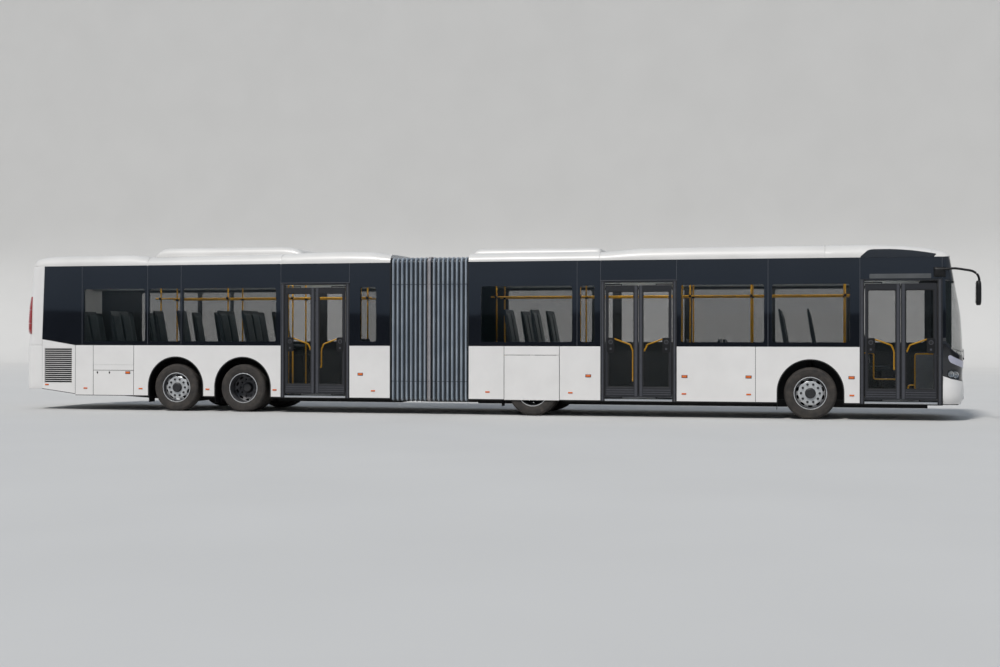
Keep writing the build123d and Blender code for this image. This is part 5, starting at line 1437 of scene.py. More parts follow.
# %% Dome panel over the first door
dome_edge = np.array([
    (7.385, 2.962), (7.400, 2.985), (7.514, 3.083), (7.560, 3.098), (7.620, 3.105),
    (7.900, 3.105), (8.099, 3.095), (8.334, 3.075), (8.568, 3.045), (8.790, 3.012),
    (8.806, 3.006), (8.808, 2.962)])
dome_x = np.unique(np.concatenate([dome_edge[:, 0], np.linspace(7.385, 8.808, 44)]))
dome_top = np.interp(dome_x, *dome_edge.T)
places, heights = np.array(roof_heights["front"]).T
dome_share = (dome_top - band_top_z) / (np.interp(dome_x, places, heights) - band_top_z + roof_lift)
dome_turn = np.arcsin(np.clip(dome_share, 0, 0.999)) / (np.pi / 2)
climb = np.linspace(0, 1, 10)[None] * dome_turn[:, None]
outer = roof_point("front", dome_x[:, None], climb, 0.004)
inner = roof_point("front", dome_x[:, None], climb[:, ::-1], 0.0005)
dome_rows = np.concatenate([outer, inner], axis=1)
dome_shapes = [shell(dome_rows), shell(dome_rows * (1, -1, 1))]
piece("front_dome_panels", dome_shapes, black_print, "front_section")
sign = rectangle((7.545, 8.620), (2.572, 2.656), 0.012)
sign_shape = side_sheet([sign], -1, (half_width - 0.002, half_width + 0.0012), 0.0005)
sign_grey = mottled("blank_sign_window", ("#4d4f50", "#57595a"), 4, (0.12, 0.2), None,
                    (400, 0.0002, 0.1))
piece("side_sign_window", [sign_shape], sign_grey, "front_section")
print("roof made")

# %% [markdown]
# ## Nose and tail skins
# Both ends are one kind of surface. In plan it is a wide arc, a tight arc at each corner and a
# short straight. Lean, corner radius and wide radius change with the height, and a moving
# average over 0.2 m rounds the change. A panel of the skin runs between two heights that change
# along the plan, has rounded edges and a thickness.

# %% Rounded ends
nose_levels = [(0.300, 0.0, 0.385, 6.7), (1.070, 0.0, 0.385, 6.7), (1.900, 0.045, 0.327, 6.7),
               (2.957, 0.250, 0.110, 9.0), (3.200, 0.297, 0.060, 9.5)]
tail_levels = [(0.425, 0.0, 0.250, 20.0), (1.329, 0.0, 0.250, 20.0), (1.450, 0.035, 0.250, 20.0),
               (2.200, 0.050, 0.250, 20.0), (2.600, 0.078, 0.250, 20.0),
               (2.957, 0.125, 0.250, 20.0), (3.200, 0.160, 0.250, 20.0)]
wide_share, tight_share = 0.60, 0.39


def nose_skin(s, z, depth):
    """A point of the nose: s is -1 at the right seam, 0 in the middle and 1 at the left seam."""
    return end_skin(nose_levels, front_x, nose_seam_x, 1, s, z, depth)


def tail_skin(s, z, depth):
    """A point of the tail, with s as on the nose."""
    seam_x = tail_seam_x + tail_seam_lean * np.clip((z - tail_belt_z) / 1.505, 0, 1)
    return end_skin(tail_levels, rear_x, seam_x, -1, s, z, depth)


def end_skin(levels, end_x, seam_x, way, s, z, depth):
    """A point of a rounded end, depth inside its outer skin.

    Seen from above, the skin is a wide arc about a centre on the bus's middle line, then a tight
    arc, then a straight part back to the seam. Both arcs share their slope where they meet: the
    angle there has the sine (half width - corner) / (radius - corner). Lean, corner and radius
    come from the table of levels and are averaged over 0.2 m of height.
    """
    heights, *columns = np.array(levels).T
    lean, corner, radius = (averaged(z, heights, column, (-0.1, -0.05, 0, 0.05, 0.1))
                            for column in columns)
    along = np.abs(s)
    tilt = np.arcsin((half_width - corner) / (radius - corner))
    centre_x = end_x - way * (lean + radius)
    corner_x = centre_x + way * (radius - corner) * np.cos(tilt)
    wide = tilt * np.clip(along / wide_share, 0, 1)
    tight = tilt + (np.pi / 2 - tilt) * np.clip((along - wide_share) / tight_share, 0, 1)
    back = np.clip((along - wide_share - tight_share) / (1 - wide_share - tight_share), 0, 1)
    on_wide, on_tight = along <= wide_share, along <= wide_share + tight_share
    x = np.where(on_wide, centre_x + way * (radius - depth) * np.cos(wide),
                 np.where(on_tight, corner_x + way * (corner - depth) * np.cos(tight),
                          corner_x + (seam_x - corner_x) * back))
    y = np.where(on_wide, (radius - depth) * np.sin(wide),
                 np.where(on_tight, half_width - corner + (corner - depth) * np.sin(tight),
                          half_width - depth))
    return np.stack(np.broadcast_arrays(x, np.sign(s) * y, z), -1)


def curve_of(value):
    """A number as a curve that stays level; a curve is passed on."""
    return value if callable(value) else lambda place: value + 0 * place


def skin_panel(surface, s_values, low, high, depth, thickness, edge=0.003, steps=12):
    """A panel of an end, its rim a quarter circle of radius edge.

    low and high are heights, or curves of s. depth under the skin is a length, or a curve of z.
    """
    s = np.asarray(s_values, float)[:, None]
    depth = curve_of(depth)
    low_z, high_z = curve_of(low)(np.abs(s)) + 0 * s, curve_of(high)(np.abs(s)) + 0 * s
    turn = np.linspace(0, np.pi / 2, 4)
    rise = edge * (1 - np.cos(turn))
    sink = edge * (1 - np.sin(turn))
    middle = np.linspace(0, 1, steps + 2)[None, 1:-1]
    body = low_z + edge + (high_z - low_z - 2 * edge) * middle
    z = np.concatenate([low_z + rise[None], body, high_z - rise[None, ::-1]], axis=1)
    extra = np.concatenate([sink, np.zeros(steps), sink[::-1]])[None]
    outer = surface(s, z, depth(z) + extra)
    inner = surface(s, z[:, ::-1], depth(z[:, ::-1]) + thickness)
    return shell(np.concatenate([outer, inner], axis=1))


def table_of(*rows):
    """A smooth curve through a few rows: straight between them, averaged over a fifth."""
    places, values = np.array(rows).T
    reach = 0.1 * (places[-1] - places[0]) / len(rows)
    steps = np.linspace(-reach, reach, 5)
    return lambda place: averaged(place, places, values, steps)


print("nose at its middle, 1 m up", nose_skin(0.0, 1.0, 0.0).round(3))

# %% [markdown]
# ## Nose
# From the ground up: a white bumper that bulges at knee height and tucks in below, a gloss black
# mask with the headlamps, a silver band that sweeps up at the corners, and the panoramic
# windscreen. Their edges are curves of s, level in the middle and rising by a high power of s
# near the corners, and two neighbours share a curve, so the joint between them stays even.

# %% Curves of the nose
clear_end, clear_top_z, print_top_z = 0.955, 2.520, 2.955
lamp_ends, lamp_middle_s, lamp_reach = (0.760, 0.932), 0.846, 0.086
nose_inset = table_of((0.300, 0.060), (0.350, 0.028), (0.440, 0.004), (0.520, 0.0), (0.620, 0.004),
                      (0.720, 0.020), (0.850, 0.026), (0.960, 0.016), (1.080, 0.006), (3.2, 0.004))


def bumper_top(s):
    """The bumper's top edge rises with the fourth power of s."""
    return 0.690 + 0.125 * s**4


def screen_foot(s):
    """The windscreen's foot rises with the eighth power of s up to the clear part's end."""
    return 1.170 + 0.270 * (np.minimum(s, clear_end) / clear_end) ** 8


def trim_edge(way):
    """The silver band's lower or upper edge: its half height tapers with a root at its tips."""
    def edge(s):
        """The edge's height at a share of the nose."""
        foot, head = 0.940 + 0.165 * (s / clear_end) ** 5, 1.050 + 0.185 * (s / clear_end) ** 5
        taper = np.sqrt(np.clip((0.928 - s) / 0.03, 0, 1))
        return (foot + head) / 2 + way * ((head - foot) / 2 * taper + 0.004)
    return edge


def lamp_middle(s):
    """The headlamp's middle line climbs a little outwards."""
    return 0.840 + 0.12 * (np.abs(s) - lamp_middle_s)


def lamp_edge(way, gap):
    """The headlamp's lower or upper edge, a superellipse of power four, moved out by gap."""
    def edge(s):
        """The edge's height at a share of the nose."""
        share = (np.abs(s) - lamp_middle_s) / lamp_reach
        return lamp_middle(s) + way * (0.085 * np.sqrt(np.clip(1 - share**4, 0, 1)) + gap)
    return edge


def nose_depth(step):
    """The nose's own depth under its plan curve, moved inwards by step."""
    return lambda z: nose_inset(z) + step


print("bumper is", round(1000 * float(bumper_top(0) - skirt_z)), "mm high in the middle")

# %% [markdown]
# The mask goes round each headlamp in three parts: outside it, below it and above it. A narrow
# filler stands between the nose and the first door. The band lies 3 mm proud of the mask.

# %% Bumper, mask and band
all_round = np.concatenate([np.linspace(-1, -0.6, 36), np.linspace(-0.6, 0.6, 30)[1:-1],
                            np.linspace(0.6, 1, 36)])
lamp_span = np.linspace(*lamp_ends, 30)


def mask_foot(s):
    """The mask starts 3 mm above the bumper."""
    return bumper_top(s) + 0.003


def mask_head(s):
    """The mask ends 4 mm below the windscreen."""
    return screen_foot(s) - 0.004


def mask_panel(s_values, low, high, edge=0.003):
    """A part of the mask."""
    return skin_panel(nose_skin, s_values, low, high, nose_depth(-0.002), 0.024, edge)


masks = [mask_panel(np.linspace(-lamp_ends[0], lamp_ends[0], 60), mask_foot, mask_head)]
for side in (-1, 1):
    masks += [mask_panel(side * np.linspace(lamp_ends[1], 1, 12), mask_foot, mask_head),
              mask_panel(side * lamp_span, mask_foot, lamp_edge(-1, 0.001), 0.001),
              mask_panel(side * lamp_span, lamp_edge(1, 0.001), mask_head, 0.001)]
filler = side_sheet([rectangle((door_front["door_1"] - 0.001, nose_seam_x),
                               (skirt_z + 0.002, belt_z + 0.003))], -1, (1.262, 1.2738))
bumper = skin_panel(nose_skin, all_round, skirt_z, bumper_top, nose_depth(-0.004), 0.030, 0.008)
trim = skin_panel(nose_skin, np.linspace(-0.926, 0.926, 110), trim_edge(-1), trim_edge(1),
                  nose_depth(-0.005), 0.012, 0.0035)
piece("nose_bumper", [bumper], white_enamel, "front_section",
      node="front_mask")
piece("nose_mask", [*masks, filler], gloss_black, "front_section")
piece("nose_trim_band", [trim], silver_lacquer, "front_section")
print("mask parts", len(masks))

# %% [markdown]
# The windscreen is laminated glass in one piece, with the black print round its clear part. The
# wipers park along its foot. Each has a hub, an arm and a blade, and they are bars carried along
# lines on the glass, so they follow its curve.

# %% Windscreen and wipers
within_screen = np.linspace(-clear_end, clear_end, 90)
prints = [skin_panel(nose_skin, np.linspace(*ends, 8), screen_foot, print_top_z, nose_inset,
                     0.006, 0.001, 24) for ends in ((-1, -clear_end), (clear_end, 1))]
prints.append(skin_panel(nose_skin, within_screen, clear_top_z, print_top_z, nose_inset, 0.006,
                         0.001))
piece("windscreen_print", prints, black_print, "front_section",
      node="windscreen")
clear = skin_panel(nose_skin, within_screen, screen_foot, clear_top_z, nose_inset, 0.006, 0.001,
                   26)
piece("windscreen_clear", [clear], screen_glass, "front_section")
hub_s, hub_z = 0.58, 1.12
wipers = []
for side in (-1, 1):
    reach = np.linspace(0, 1, 12)
    blade_line = nose_skin(side * (0.06 + 0.52 * reach), 1.24 + 0.05 * reach, -0.002)
    arm_line = nose_skin(side * (hub_s - 0.26 * reach), hub_z + 0.145 * reach, -0.004)
    wipers += [bar(blade_line, 0.012, 0.010, (0, 0, 1), 0.002),
               bar(arm_line, 0.014, 0.008, (0, 0, 1), 0.003),
               placed(pillow(0.022, 0.022, 0.022, 9, 2), nose_skin(side * hub_s, hub_z, 0.008),
                      *front_ways)]
piece("wipers", wipers, black_plastic, "front_section")
print("wiper shapes", len(wipers))

# %% [markdown]
# A headlamp is a clear cover over a black pit with two bright bowls, the main beam and the dip.
# A bowl is a paraboloid turned about its own axis: its depth grows with the square of its radius.

# %% Headlamps, fog lamps and front plate


def bowl(s, z, radius, depth, lift=0.0):
    """A reflector bowl on the nose at s and z, opening outwards along the skin's normal."""
    along = nose_skin(s + 0.002, z, 0.004) - nose_skin(s - 0.002, z, 0.004)
    along = along / np.linalg.norm(along)
    upward = np.array([0.0, 0.0, 1.0])
    share = np.linspace(0, 1, 9)[:, None]
    turn = np.linspace(0, 2 * np.pi, 24, endpoint=False)[None]
    u, v = radius * share * np.cos(turn), radius * share * np.sin(turn)
    w = lift - depth * (1 - share**2) + 0 * turn
    front = np.stack([u, v, w], -1)
    back = np.stack([u * 1.06, v * 1.06, w - 0.004], -1)[::-1]
    return placed(shell(np.concatenate([front, back])), nose_skin(s, z, 0.004), along, upward,
                  np.cross(along, upward))


def blank_plate(x, way):
    """A number plate without a number: 520 by 112 mm, facing forwards or back."""
    plate = cut_sheet([rectangle((-0.26, 0.26), (0.455, 0.567), 0.008)], 0.006, 0.0015)
    return placed(plate, (x, 0, 0), (0, 1, 0), (0, 0, 1), (way, 0, 0))


for name, side in sides.items():
    cover = skin_panel(nose_skin, side * lamp_span, lamp_edge(-1, 0.004), lamp_edge(1, 0.004),
                       nose_depth(-0.008), 0.005, 0.002)
    piece("headlamp_cover_" + name, [cover], lamp_glass, "front_section")
    pit = skin_panel(nose_skin, side * np.linspace(0.745, 0.945, 24),
                     lambda s: lamp_middle(s) - 0.110, lambda s: lamp_middle(s) + 0.110,
                     nose_depth(0.050), 0.004, 0.001)
    piece("headlamp_pit_" + name, [pit], black_plastic, "front_section")
    bowls = [bowl(side * 0.806, 0.835, 0.058, 0.024, -0.012),
             bowl(side * 0.881, 0.844, 0.052, 0.022, -0.012),
             bowl(side * 0.560, 0.430, 0.045, 0.018, 0.004)]
    piece("headlamp_bowls_" + name, bowls, chrome, "front_section",
          node="headlamps" if side < 0 else None)
piece("front_blank_plate", [blank_plate(front_x + 0.004, 1)], white_enamel, "front_section")
print("nose made")

# %% [markdown]
# ## Tail
# The tail is a white shell that tucks in at its foot. It leaves a hole for the engine lid and
# one for the window in black print above it. A place on the plan's wide arc is given by its
# distance from the middle, so a function turns metres into s.

# %% Tail panels
lid_half, lid_z, belt_joint_z = 0.900, (0.560, 1.290), 1.326
tail_foot = table_of((0.425, 0.020), (0.50, 0.003), (0.60, 0.0), (3.0, 0.0))


def share_at(y):
    """The s of a place on the tail's wide arc, from its distance to the middle."""
    _, _, corner, radius = tail_levels[0]
    tilt = np.arcsin((half_width - corner) / (radius - corner))
    return float(wide_share * np.arcsin(y / radius) / tilt)


def to_seam(start_s, steps):
    """Places from start_s to the seam, closer together in the corner."""
    return np.concatenate([np.linspace(start_s, 0.6, steps)[:-1], np.linspace(0.6, 1, 26)])


def tail_part(s_values, low, high, depth=0.0, edge=0.003, steps=12):
    """A part of the white shell."""
    return skin_panel(tail_skin, s_values, low, high, depth, 0.040, edge, steps)


lid_s, print_s, window_s = share_at(lid_half), share_at(0.955), share_at(0.780)
middle_s = np.linspace(-lid_s, lid_s, 24)
tail_shapes = []
for side in (-1, 1):
    tail_shapes += [
        tail_part(side * to_seam(lid_s, 6), rear_skirt_z, belt_joint_z, tail_foot, 0.004, 16),
        tail_part(side * to_seam(print_s, 4), 1.330, 2.957, 0.0, 0.002, 30)]
tail_shapes += [tail_part(middle_s, rear_skirt_z, lid_z[0], tail_foot),
                tail_part(middle_s, lid_z[1] + 0.002, belt_joint_z),
                tail_part(np.linspace(-print_s, print_s, 24), belt_joint_z, 1.470)]
piece("tail_shell", tail_shapes, white_enamel, "rear_section",
      node="rear_end")
print("tail parts", len(tail_shapes))

# %% [markdown]
# The rear window is one sheet of glass, printed black round a clear middle. The print is four
# strips round the hole, and the clear pane lies half a millimetre deeper between them.

# %% Rear window
print_ends, pane_z = inset((-print_s, print_s), 0.002), (1.620, 2.420)
rear_prints = [skin_panel(tail_skin, np.linspace(*print_ends, 24), *z_ends, 0.004, 0.006, 0.001)
               for z_ends in ((1.475, pane_z[0]), (pane_z[1], 2.955))]
rear_prints += [skin_panel(tail_skin, np.linspace(*ends, 4), *pane_z, 0.004, 0.006, 0.0005, 16)
                for ends in ((print_ends[0], -window_s), (window_s, print_ends[1]))]
piece("rear_window_print", rear_prints, black_print, "rear_section",
      node="rear_window")
rear_pane = skin_panel(tail_skin, np.linspace(-window_s, window_s, 20), *pane_z, 0.0045, 0.005,
                       0.0005, 16)
piece("rear_window_clear", [rear_pane], window_glass, "rear_section")
print("rear window", round(pane_z[1] - pane_z[0], 2), "m high")

# %% [markdown]
# Behind the lid lies the engine, here one casting. Its sump rises towards the tail as the skirt
# does, and upright ribs stiffen its sides. A rounded section is carried along the bus, and it
# draws in by 12 mm between the ribs.

# %% Engine
engine_low, engine_high = (np.array(corner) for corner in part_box("engine"))
rib_pitch, rib_height, sump_start, sump_length = 0.135, 0.012, -8.10, 0.85
station = np.linspace(engine_low[0], engine_high[0], 181)[:, None]
section = rectangle((engine_low[1], engine_high[1]), (engine_low[2], engine_high[2]), 0.060, 6)
between_ribs = np.sin(np.pi * station / rib_pitch) ** 2 > 0.3
narrowing = 1 - rib_height / engine_high[1] * between_ribs
sump_rise = 0.125 * np.clip((sump_start - station) / sump_length, 0, 1)
share_down = (engine_high[2] - section[:, 1]) / (engine_high[2] - engine_low[2])
casting = np.stack([station + 0 * share_down, section[:, 0] * narrowing,
                    section[:, 1] + sump_rise * share_down], axis=-1)
piece("engine_casting", [shell(casting)], cast_iron, "rear_section",
      node="engine")
print("engine", np.round(engine_high - engine_low, 3), "m")

# %% [markdown]
# The engine lid hangs from its top edge. It carries nine black louvres that let the heat out and
# a handle, all bars carried along the tail's own curve.

# %% Engine lid
lid_ends = share_at(lid_half - lid_gap)
lid_shapes = [skin_panel(tail_skin, np.linspace(-lid_ends, lid_ends, 24), lid_z[0] + lid_gap,
                         lid_z[1] - 0.0003, 0.001, 0.045, 0.004)]
for louvre_z in 0.74 + 0.048 * np.arange(9):
    line = tail_skin(np.linspace(-0.36, 0.36, 12), louvre_z, 0.005)
    lid_shapes += finished(black_plastic, bar(line, 0.018, 0.010, (0, 0, 1), 0.003))
handle = tail_skin(np.linspace(-0.06, 0.06, 7), 0.64, 0.006)
lid_shapes += finished(black_plastic, bar(handle, 0.024, 0.012, (0, 0, 1), 0.004))
piece("engine_lid_skin", lid_shapes, white_enamel, "engine_lid",
      node="engine_lid")
print("engine lid", round(2 * lid_half, 2), "m wide")

# %% [markdown]
# Each tail lamp is a tall red lens in three blocks with a thin joint between them. It swells out
# of the corner by up to 38 mm at its lower third, and a table of depths over height says so.

# %% Tail lamps and rear plate
lamp_s = np.linspace(0.625, 0.86, 22)
lamp_swell = table_of((1.555, 0.006), (1.62, 0.034), (1.80, 0.038), (2.10, 0.024), (2.335, 0.0))
lenses = [skin_panel(tail_skin, side * lamp_s, *z_ends, lambda z: -lamp_swell(z) - 0.002, 0.040,
                     0.006, 10)
          for side in (-1, 1) for z_ends in ((1.558, 1.780), (1.784, 2.056), (2.060, 2.332))]
piece("tail_lamp_lenses", lenses, red_lens, "rear_section", node="tail_lamps")
piece("rear_blank_plate", [blank_plate(rear_x + 0.0015, -1)], white_enamel, "rear_section")
print("tail lamp blocks", len(lenses))

# %% [markdown]
# ## Mirrors
# Each mirror hangs from a bent tube that a rounded bracket holds at the windscreen's top corner.
# The head is a flat case: its section is a superellipse, and it narrows at both ends.

# %% Mirrors
mirror_shapes, head_foot_z, head_height = [], 2.078, 0.440
for side, reach in ((-1, 0.0), (1, -0.275)):
    y = side * (half_width + 0.030)
    head_x, head_y = 9.420 + reach, side * 1.345
    arm = bent([(8.79, y, 2.725), (9.02, y + side * 0.02, 2.745), (head_x - 0.08, head_y, 2.690),
                (head_x + 0.012, head_y, 2.600), (head_x + 0.015, head_y, 2.420)], 0.075, 8)
    mirror_shapes.append(tube(arm, 0.021, (0, 1, 0.2), 12))
    height = ((1 - np.cos(np.linspace(0, np.pi, 17))) / 2)[:, None]
    fat = 0.45 + 0.55 * (1 - np.abs(2 * height - 1) ** 6) ** 0.5
    turn = np.linspace(0, 2 * np.pi, 28, endpoint=False)[None]
    flat, wide = (np.sign(wave) * np.abs(wave) ** 0.7 for wave in (np.cos(turn), np.sin(turn)))
    mirror_shapes.append(shell(np.stack(np.broadcast_arrays(
        head_x + 0.048 * fat * flat, head_y + 0.098 * fat * wide,
        head_foot_z + head_height * height), -1)))
    mirror_shapes.append(on_wall(pillow(0.105, 0.090, 0.045, 13, 4), 8.765, 2.680, side,
                                 half_width - 0.002))
    mirror_shapes += finished(chrome, placed(pillow(0.080, 0.185, 0.004, 9, 8),
                                             (head_x - 0.0465, head_y, 2.300), (0, -1, 0),
                                             (0, 0, 1), (-1, 0, 0)))
piece("mirror_cases", mirror_shapes, black_plastic, "front_section",
      node="mirrors")
print("mirrors made")

# %% [markdown]
# ## Tyres
# A tyre is its half section turned about the axle. The tread is part of the same surface: where a
# groove runs, the radius is 11 mm less. Four grooves zigzag round the tyre, so their place across
# the tread swings by 3 mm, and short notches cut the shoulders into blocks.

# %% Turned shapes and tyres
groove_places, groove_half, groove_depth = (0.026, 0.070), 0.0055, 0.011
shoulder_blocks, steps_per_block = 60, 4
tyre_side = [
    (0.100, 0.291), (0.110, 0.293), (0.118, 0.300), (0.1215, 0.309), (0.1235, 0.3095),
    (0.128, 0.325), (0.1335, 0.345), (0.137, 0.366), (0.138, 0.384), (0.1365, 0.402),
    (0.1335, 0.420), (0.1345, 0.423), (0.1315, 0.436), (0.1265, 0.449), (0.119, 0.460),
    (0.110, 0.4695), (0.102, 0.4735)]
tyre_tread = [(u + step, radius) for u, radius in zip(groove_places[::-1], (0.4765, 0.4783))
              for step in (0.0062, 0.0048, -0.0048, -0.0062)]


def wheel_point(wheel, u, radius, turn):
    """A point of a wheel: u is outwards from its middle, turn is the angle from straight up.

    wheel is its axle's x, its side and its middle's distance from the bus's middle.
    """
    axle_x, side, middle_y = wheel
    return np.stack(np.broadcast_arrays(axle_x + radius * np.sin(turn), side * (middle_y + u),
                                        tyre_radius + radius * np.cos(turn)), -1)


def turned(wheel, profile, steps):
    """A ring: a closed profile of u and radius turned about the axle."""
    u, radius = np.array(profile).T
    turn = np.linspace(0, 2 * np.pi, steps, endpoint=False)[:, None]
    return grid(wheel_point(wheel, u[None], radius[None], turn), True, True)


def tyre(wheel):
    """The turned section: grooves and shoulder notches are taken off its radius."""
    half = np.array(tyre_side + tyre_tread)
    section = np.vstack([half * (-1, 1), half[::-1]])
    block = np.arange(shoulder_blocks * steps_per_block)[:, None]
    turn = 2 * np.pi * block / len(block)
    u, radius = section[None, :, 0] + 0 * turn, section[None, :, 1] + 0 * turn
    from_groove = np.min([np.abs(np.abs(u) - place) for place in groove_places], axis=0)
    radius = radius - np.where(from_groove < groove_half, groove_depth, 0.0)
    zigzag = 0.003 * (2 * np.abs((block / 8.0) % 1.0 * 2 - 1) - 1)
    u = u + np.where(np.abs(u) < 0.090, zigzag, 0.0)
    notch = (block % steps_per_block == 0) & (radius > 0.447) & (np.abs(u) > 0.095)
    return grid(wheel_point(wheel, u, radius - np.where(notch, 0.007, 0.0), turn), True, True)


print("tyre section points", 2 * len(tyre_side + tyre_tread))

# %% [markdown]
# ## Wheels
# A pressed steel disc has ten hand holes. Round each hole the surface is a fan of lines from the
# hole's oval to the border of its 36 degree sector, and the disc's form is one curve of height
# over radius. Outside the sectors plain rings go to the hub and to the rim. Cutting the holes
# with a modifier would leave ragged faces, and here every face is a clean quad.

# %% Discs with hand holes
hole_count, hole_circle, hole_half, disc_sheet = 10, 0.240, (0.044, 0.021), 0.012
sector_radii, arc_steps, side_steps = (0.208, 0.2665), 8, 5


def sector_fan(wheel, height, centre_turn):
    """The surface between a hole and its sector's border: a straight blend of the two loops."""
    half_turn = np.pi / hole_count
    arc = np.linspace(-half_turn, half_turn, arc_steps + 1)
    run = np.linspace(*sector_radii, side_steps + 1)
    border = np.vstack([
        np.stack([np.full(arc_steps, sector_radii[0]), arc[:-1]], 1),
        np.stack([run[:-1], np.full(side_steps, half_turn)], 1),
        np.stack([np.full(arc_steps, sector_radii[1]), arc[:0:-1]], 1),
        np.stack([run[:0:-1], np.full(side_steps, -half_turn)], 1),
    ])
    way = np.arctan2(border[:, 0] - hole_circle, border[:, 1] * hole_circle)
    hole_radius = hole_circle + hole_half[1] * np.sin(way)
    hole_turn = hole_half[0] * np.cos(way) / hole_circle
    share = np.array([0, 0.12, 0.45, 1.0])[:, None]
    radius = hole_radius + (border[:, 0] - hole_radius) * share
    turn = hole_turn + (border[:, 1] - hole_turn) * share
    u = height(radius) - 0.003 * (1 - np.clip(share / 0.12, 0, 1))
    return wheel_point(wheel, u, radius, turn + centre_turn)


def disc(wheel, profile):
    """A disc of one sheet: both faces, the rings in and outside the sectors, and hole walls."""
    heights, radii = np.array(profile).T

    def face(radius):
        """The outer face's height over the radius."""
        return np.interp(radius, radii, heights)

    def back(radius):
        """The inner face's height over the radius."""
        return face(radius) - disc_sheet

    turn = np.linspace(0, 2 * np.pi, hole_count * arc_steps, endpoint=False)[:, None]
    turn = turn + np.pi / hole_count
    shapes = []
    for ring in (np.linspace(radii[0], sector_radii[0], 7)[None],
                 np.linspace(sector_radii[1], radii[-1], 4)[None]):
        rows = [wheel_point(wheel, back(ring), ring, turn)[:, ::-1],
                wheel_point(wheel, face(ring), ring, turn)]
        shapes.append(grid(np.concatenate(rows, axis=1), close_rows=True))
    for number in range(hole_count):
        centre_turn = 2 * np.pi * number / hole_count
        rows = [sector_fan(wheel, back, centre_turn)[::-1], sector_fan(wheel, face, centre_turn)]
        shapes.append(grid(np.concatenate(rows), close_columns=True))
    return shapes


print("hand holes", hole_count)

# %% [markdown]
# Nuts and bolts are small turned knobs, capped at the top. The rim's barrel is one closed ring:
# two rolled flanges, the seats for the tyre's beads, and a dropped middle.

# %% Nuts and rims
nut_circle, nut_count = 0.1675, 10


def knob(wheel, u, circle_radius, turn, radius, tall, steps=12):
    """A capped bolt or nut: rings that narrow towards its top, about a line along the axle."""
    share = [(0.0, 1.25), (0.16, 1.25), (0.18, 1.0), (0.80, 0.95), (0.96, 0.72), (1.0, 0.3)]
    at = wheel_point(wheel, u, circle_radius, turn)
    around = np.linspace(0, 2 * np.pi, steps, endpoint=False)
    ring = np.stack([np.cos(around), 0 * around, np.sin(around)], 1)
    return shell([at + ring * radius * wide + np.array([0, wheel[1] * tall * high, 0])
                  for high, wide in share])


def barrel(wheel):
    """The rim's barrel: inner and outer half, then the same mirrored."""
    half = np.array([(0.030, 0.262), (0.052, 0.272), (0.100, 0.275), (0.112, 0.281),
                     (0.1155, 0.290), (0.118, 0.296), (0.1175, 0.2985), (0.114, 0.2985),
                     (0.111, 0.293), (0.106, 0.2885), (0.056, 0.284), (0.032, 0.276)])
    mirrored = half * (-1, 1)
    return turned(wheel, np.vstack([half, mirrored[:5:-1], mirrored[5::-1]]), 72)


print("wheel nuts", nut_count)

# %% [markdown]
# The steered wheels stand out and are painted silver. The twin wheels are deep dishes, dark with
# brake dust, and both of a pair belong to one body. Every barrel is dark grey as painted shade
# inside the rim, and the silver flange ring is a painted highlight on the twin wheels' rolled lip.
# A wheel is put together from the parts above.

# %% Wheels
flange = [(0.1165, 0.2850), (0.1195, 0.2865), (0.1200, 0.2960), (0.1185, 0.2995),
          (0.1165, 0.2960)]
discs = {
    "single": [(0.0755, 0.088), (0.0765, 0.130), (0.0775, 0.185), (0.0765, 0.205),
               (0.071, 0.222), (0.058, 0.243), (0.044, 0.262), (0.036, 0.271)],
    "twin": [(0.014, 0.088), (0.014, 0.205), (0.019, 0.215), (0.032, 0.235), (0.045, 0.256),
             (0.052, 0.270)]}
hubs = {
    "single": [(0.023, 0.060), (0.023, 0.105), (0.066, 0.105), (0.070, 0.098), (0.104, 0.096),
               (0.116, 0.086), (0.1195, 0.070), (0.1195, 0.050), (0.113, 0.046), (0.113, 0.002),
               (0.090, 0.002)],
    "twin": [(-0.070, 0.060), (-0.070, 0.108), (0.016, 0.108), (0.030, 0.104), (0.038, 0.094),
             (0.084, 0.090), (0.093, 0.080), (0.095, 0.064), (0.090, 0.002), (0.080, 0.002)]}
nut_faces, bolt_faces = {"single": 0.077, "twin": 0.014}, {"single": 0.115, "twin": 0.094}
valve = [(0.268, 0.060), (0.262, 0.085), (0.256, 0.104)]
for number, axle_x in axles.items():
    kind = "twin" if number in (2, 3) else "single"
    middles = [wheel_y, wheel_y - twin_spacing] if kind == "twin" else [wheel_y]
    for side_name, side in sides.items():
        body = f"wheel_{number}_{side_name}"
        outer_wheel = (axle_x, side, wheel_y)
        middle_wheel = (axle_x, side, sum(middles) / len(middles))
        piece(body + "_tyre", [tyre((axle_x, side, y)) for y in middles], tyre_rubber, body,
              smooth=40, node=body)
        # Every barrel is dark grey: painted shade inside the rim.
        shapes = finished(rim_dust_and_shade_grey, *[barrel((axle_x, side, y)) for y in middles])
        # The silver flange ring: on the twin wheels a painted highlight where the lip catches the
        # sun.
        shapes += finished(silver_and_flange_highlight, turned(outer_wheel, flange, 72))
        shapes += disc(middle_wheel, discs[kind])
        shapes += finished(nut_cap, turned(middle_wheel, hubs[kind], 48))
        for turn in np.linspace(0, 2 * np.pi, nut_count, endpoint=False) + np.pi / nut_count:
            shapes += finished(nut_cap, knob(middle_wheel, nut_faces[kind], nut_circle, turn,
                                             0.0185, 0.030))
            shapes += finished(cast_iron, knob(middle_wheel, bolt_faces[kind], 0.074, turn, 0.006,
                                               0.004, 6))
        stem = [wheel_point(outer_wheel, u, radius, radians(28)) for radius, u in valve]
        shapes += finished(black_plastic, tube(stem, 0.004, (1, 0, 0), 6))
        piece(body + "_rim", shapes, rim_dust_and_shade_grey if kind == "twin" else silver_and_flange_highlight, body,
              smooth=40)
print("wheels", 2 * len(axles))

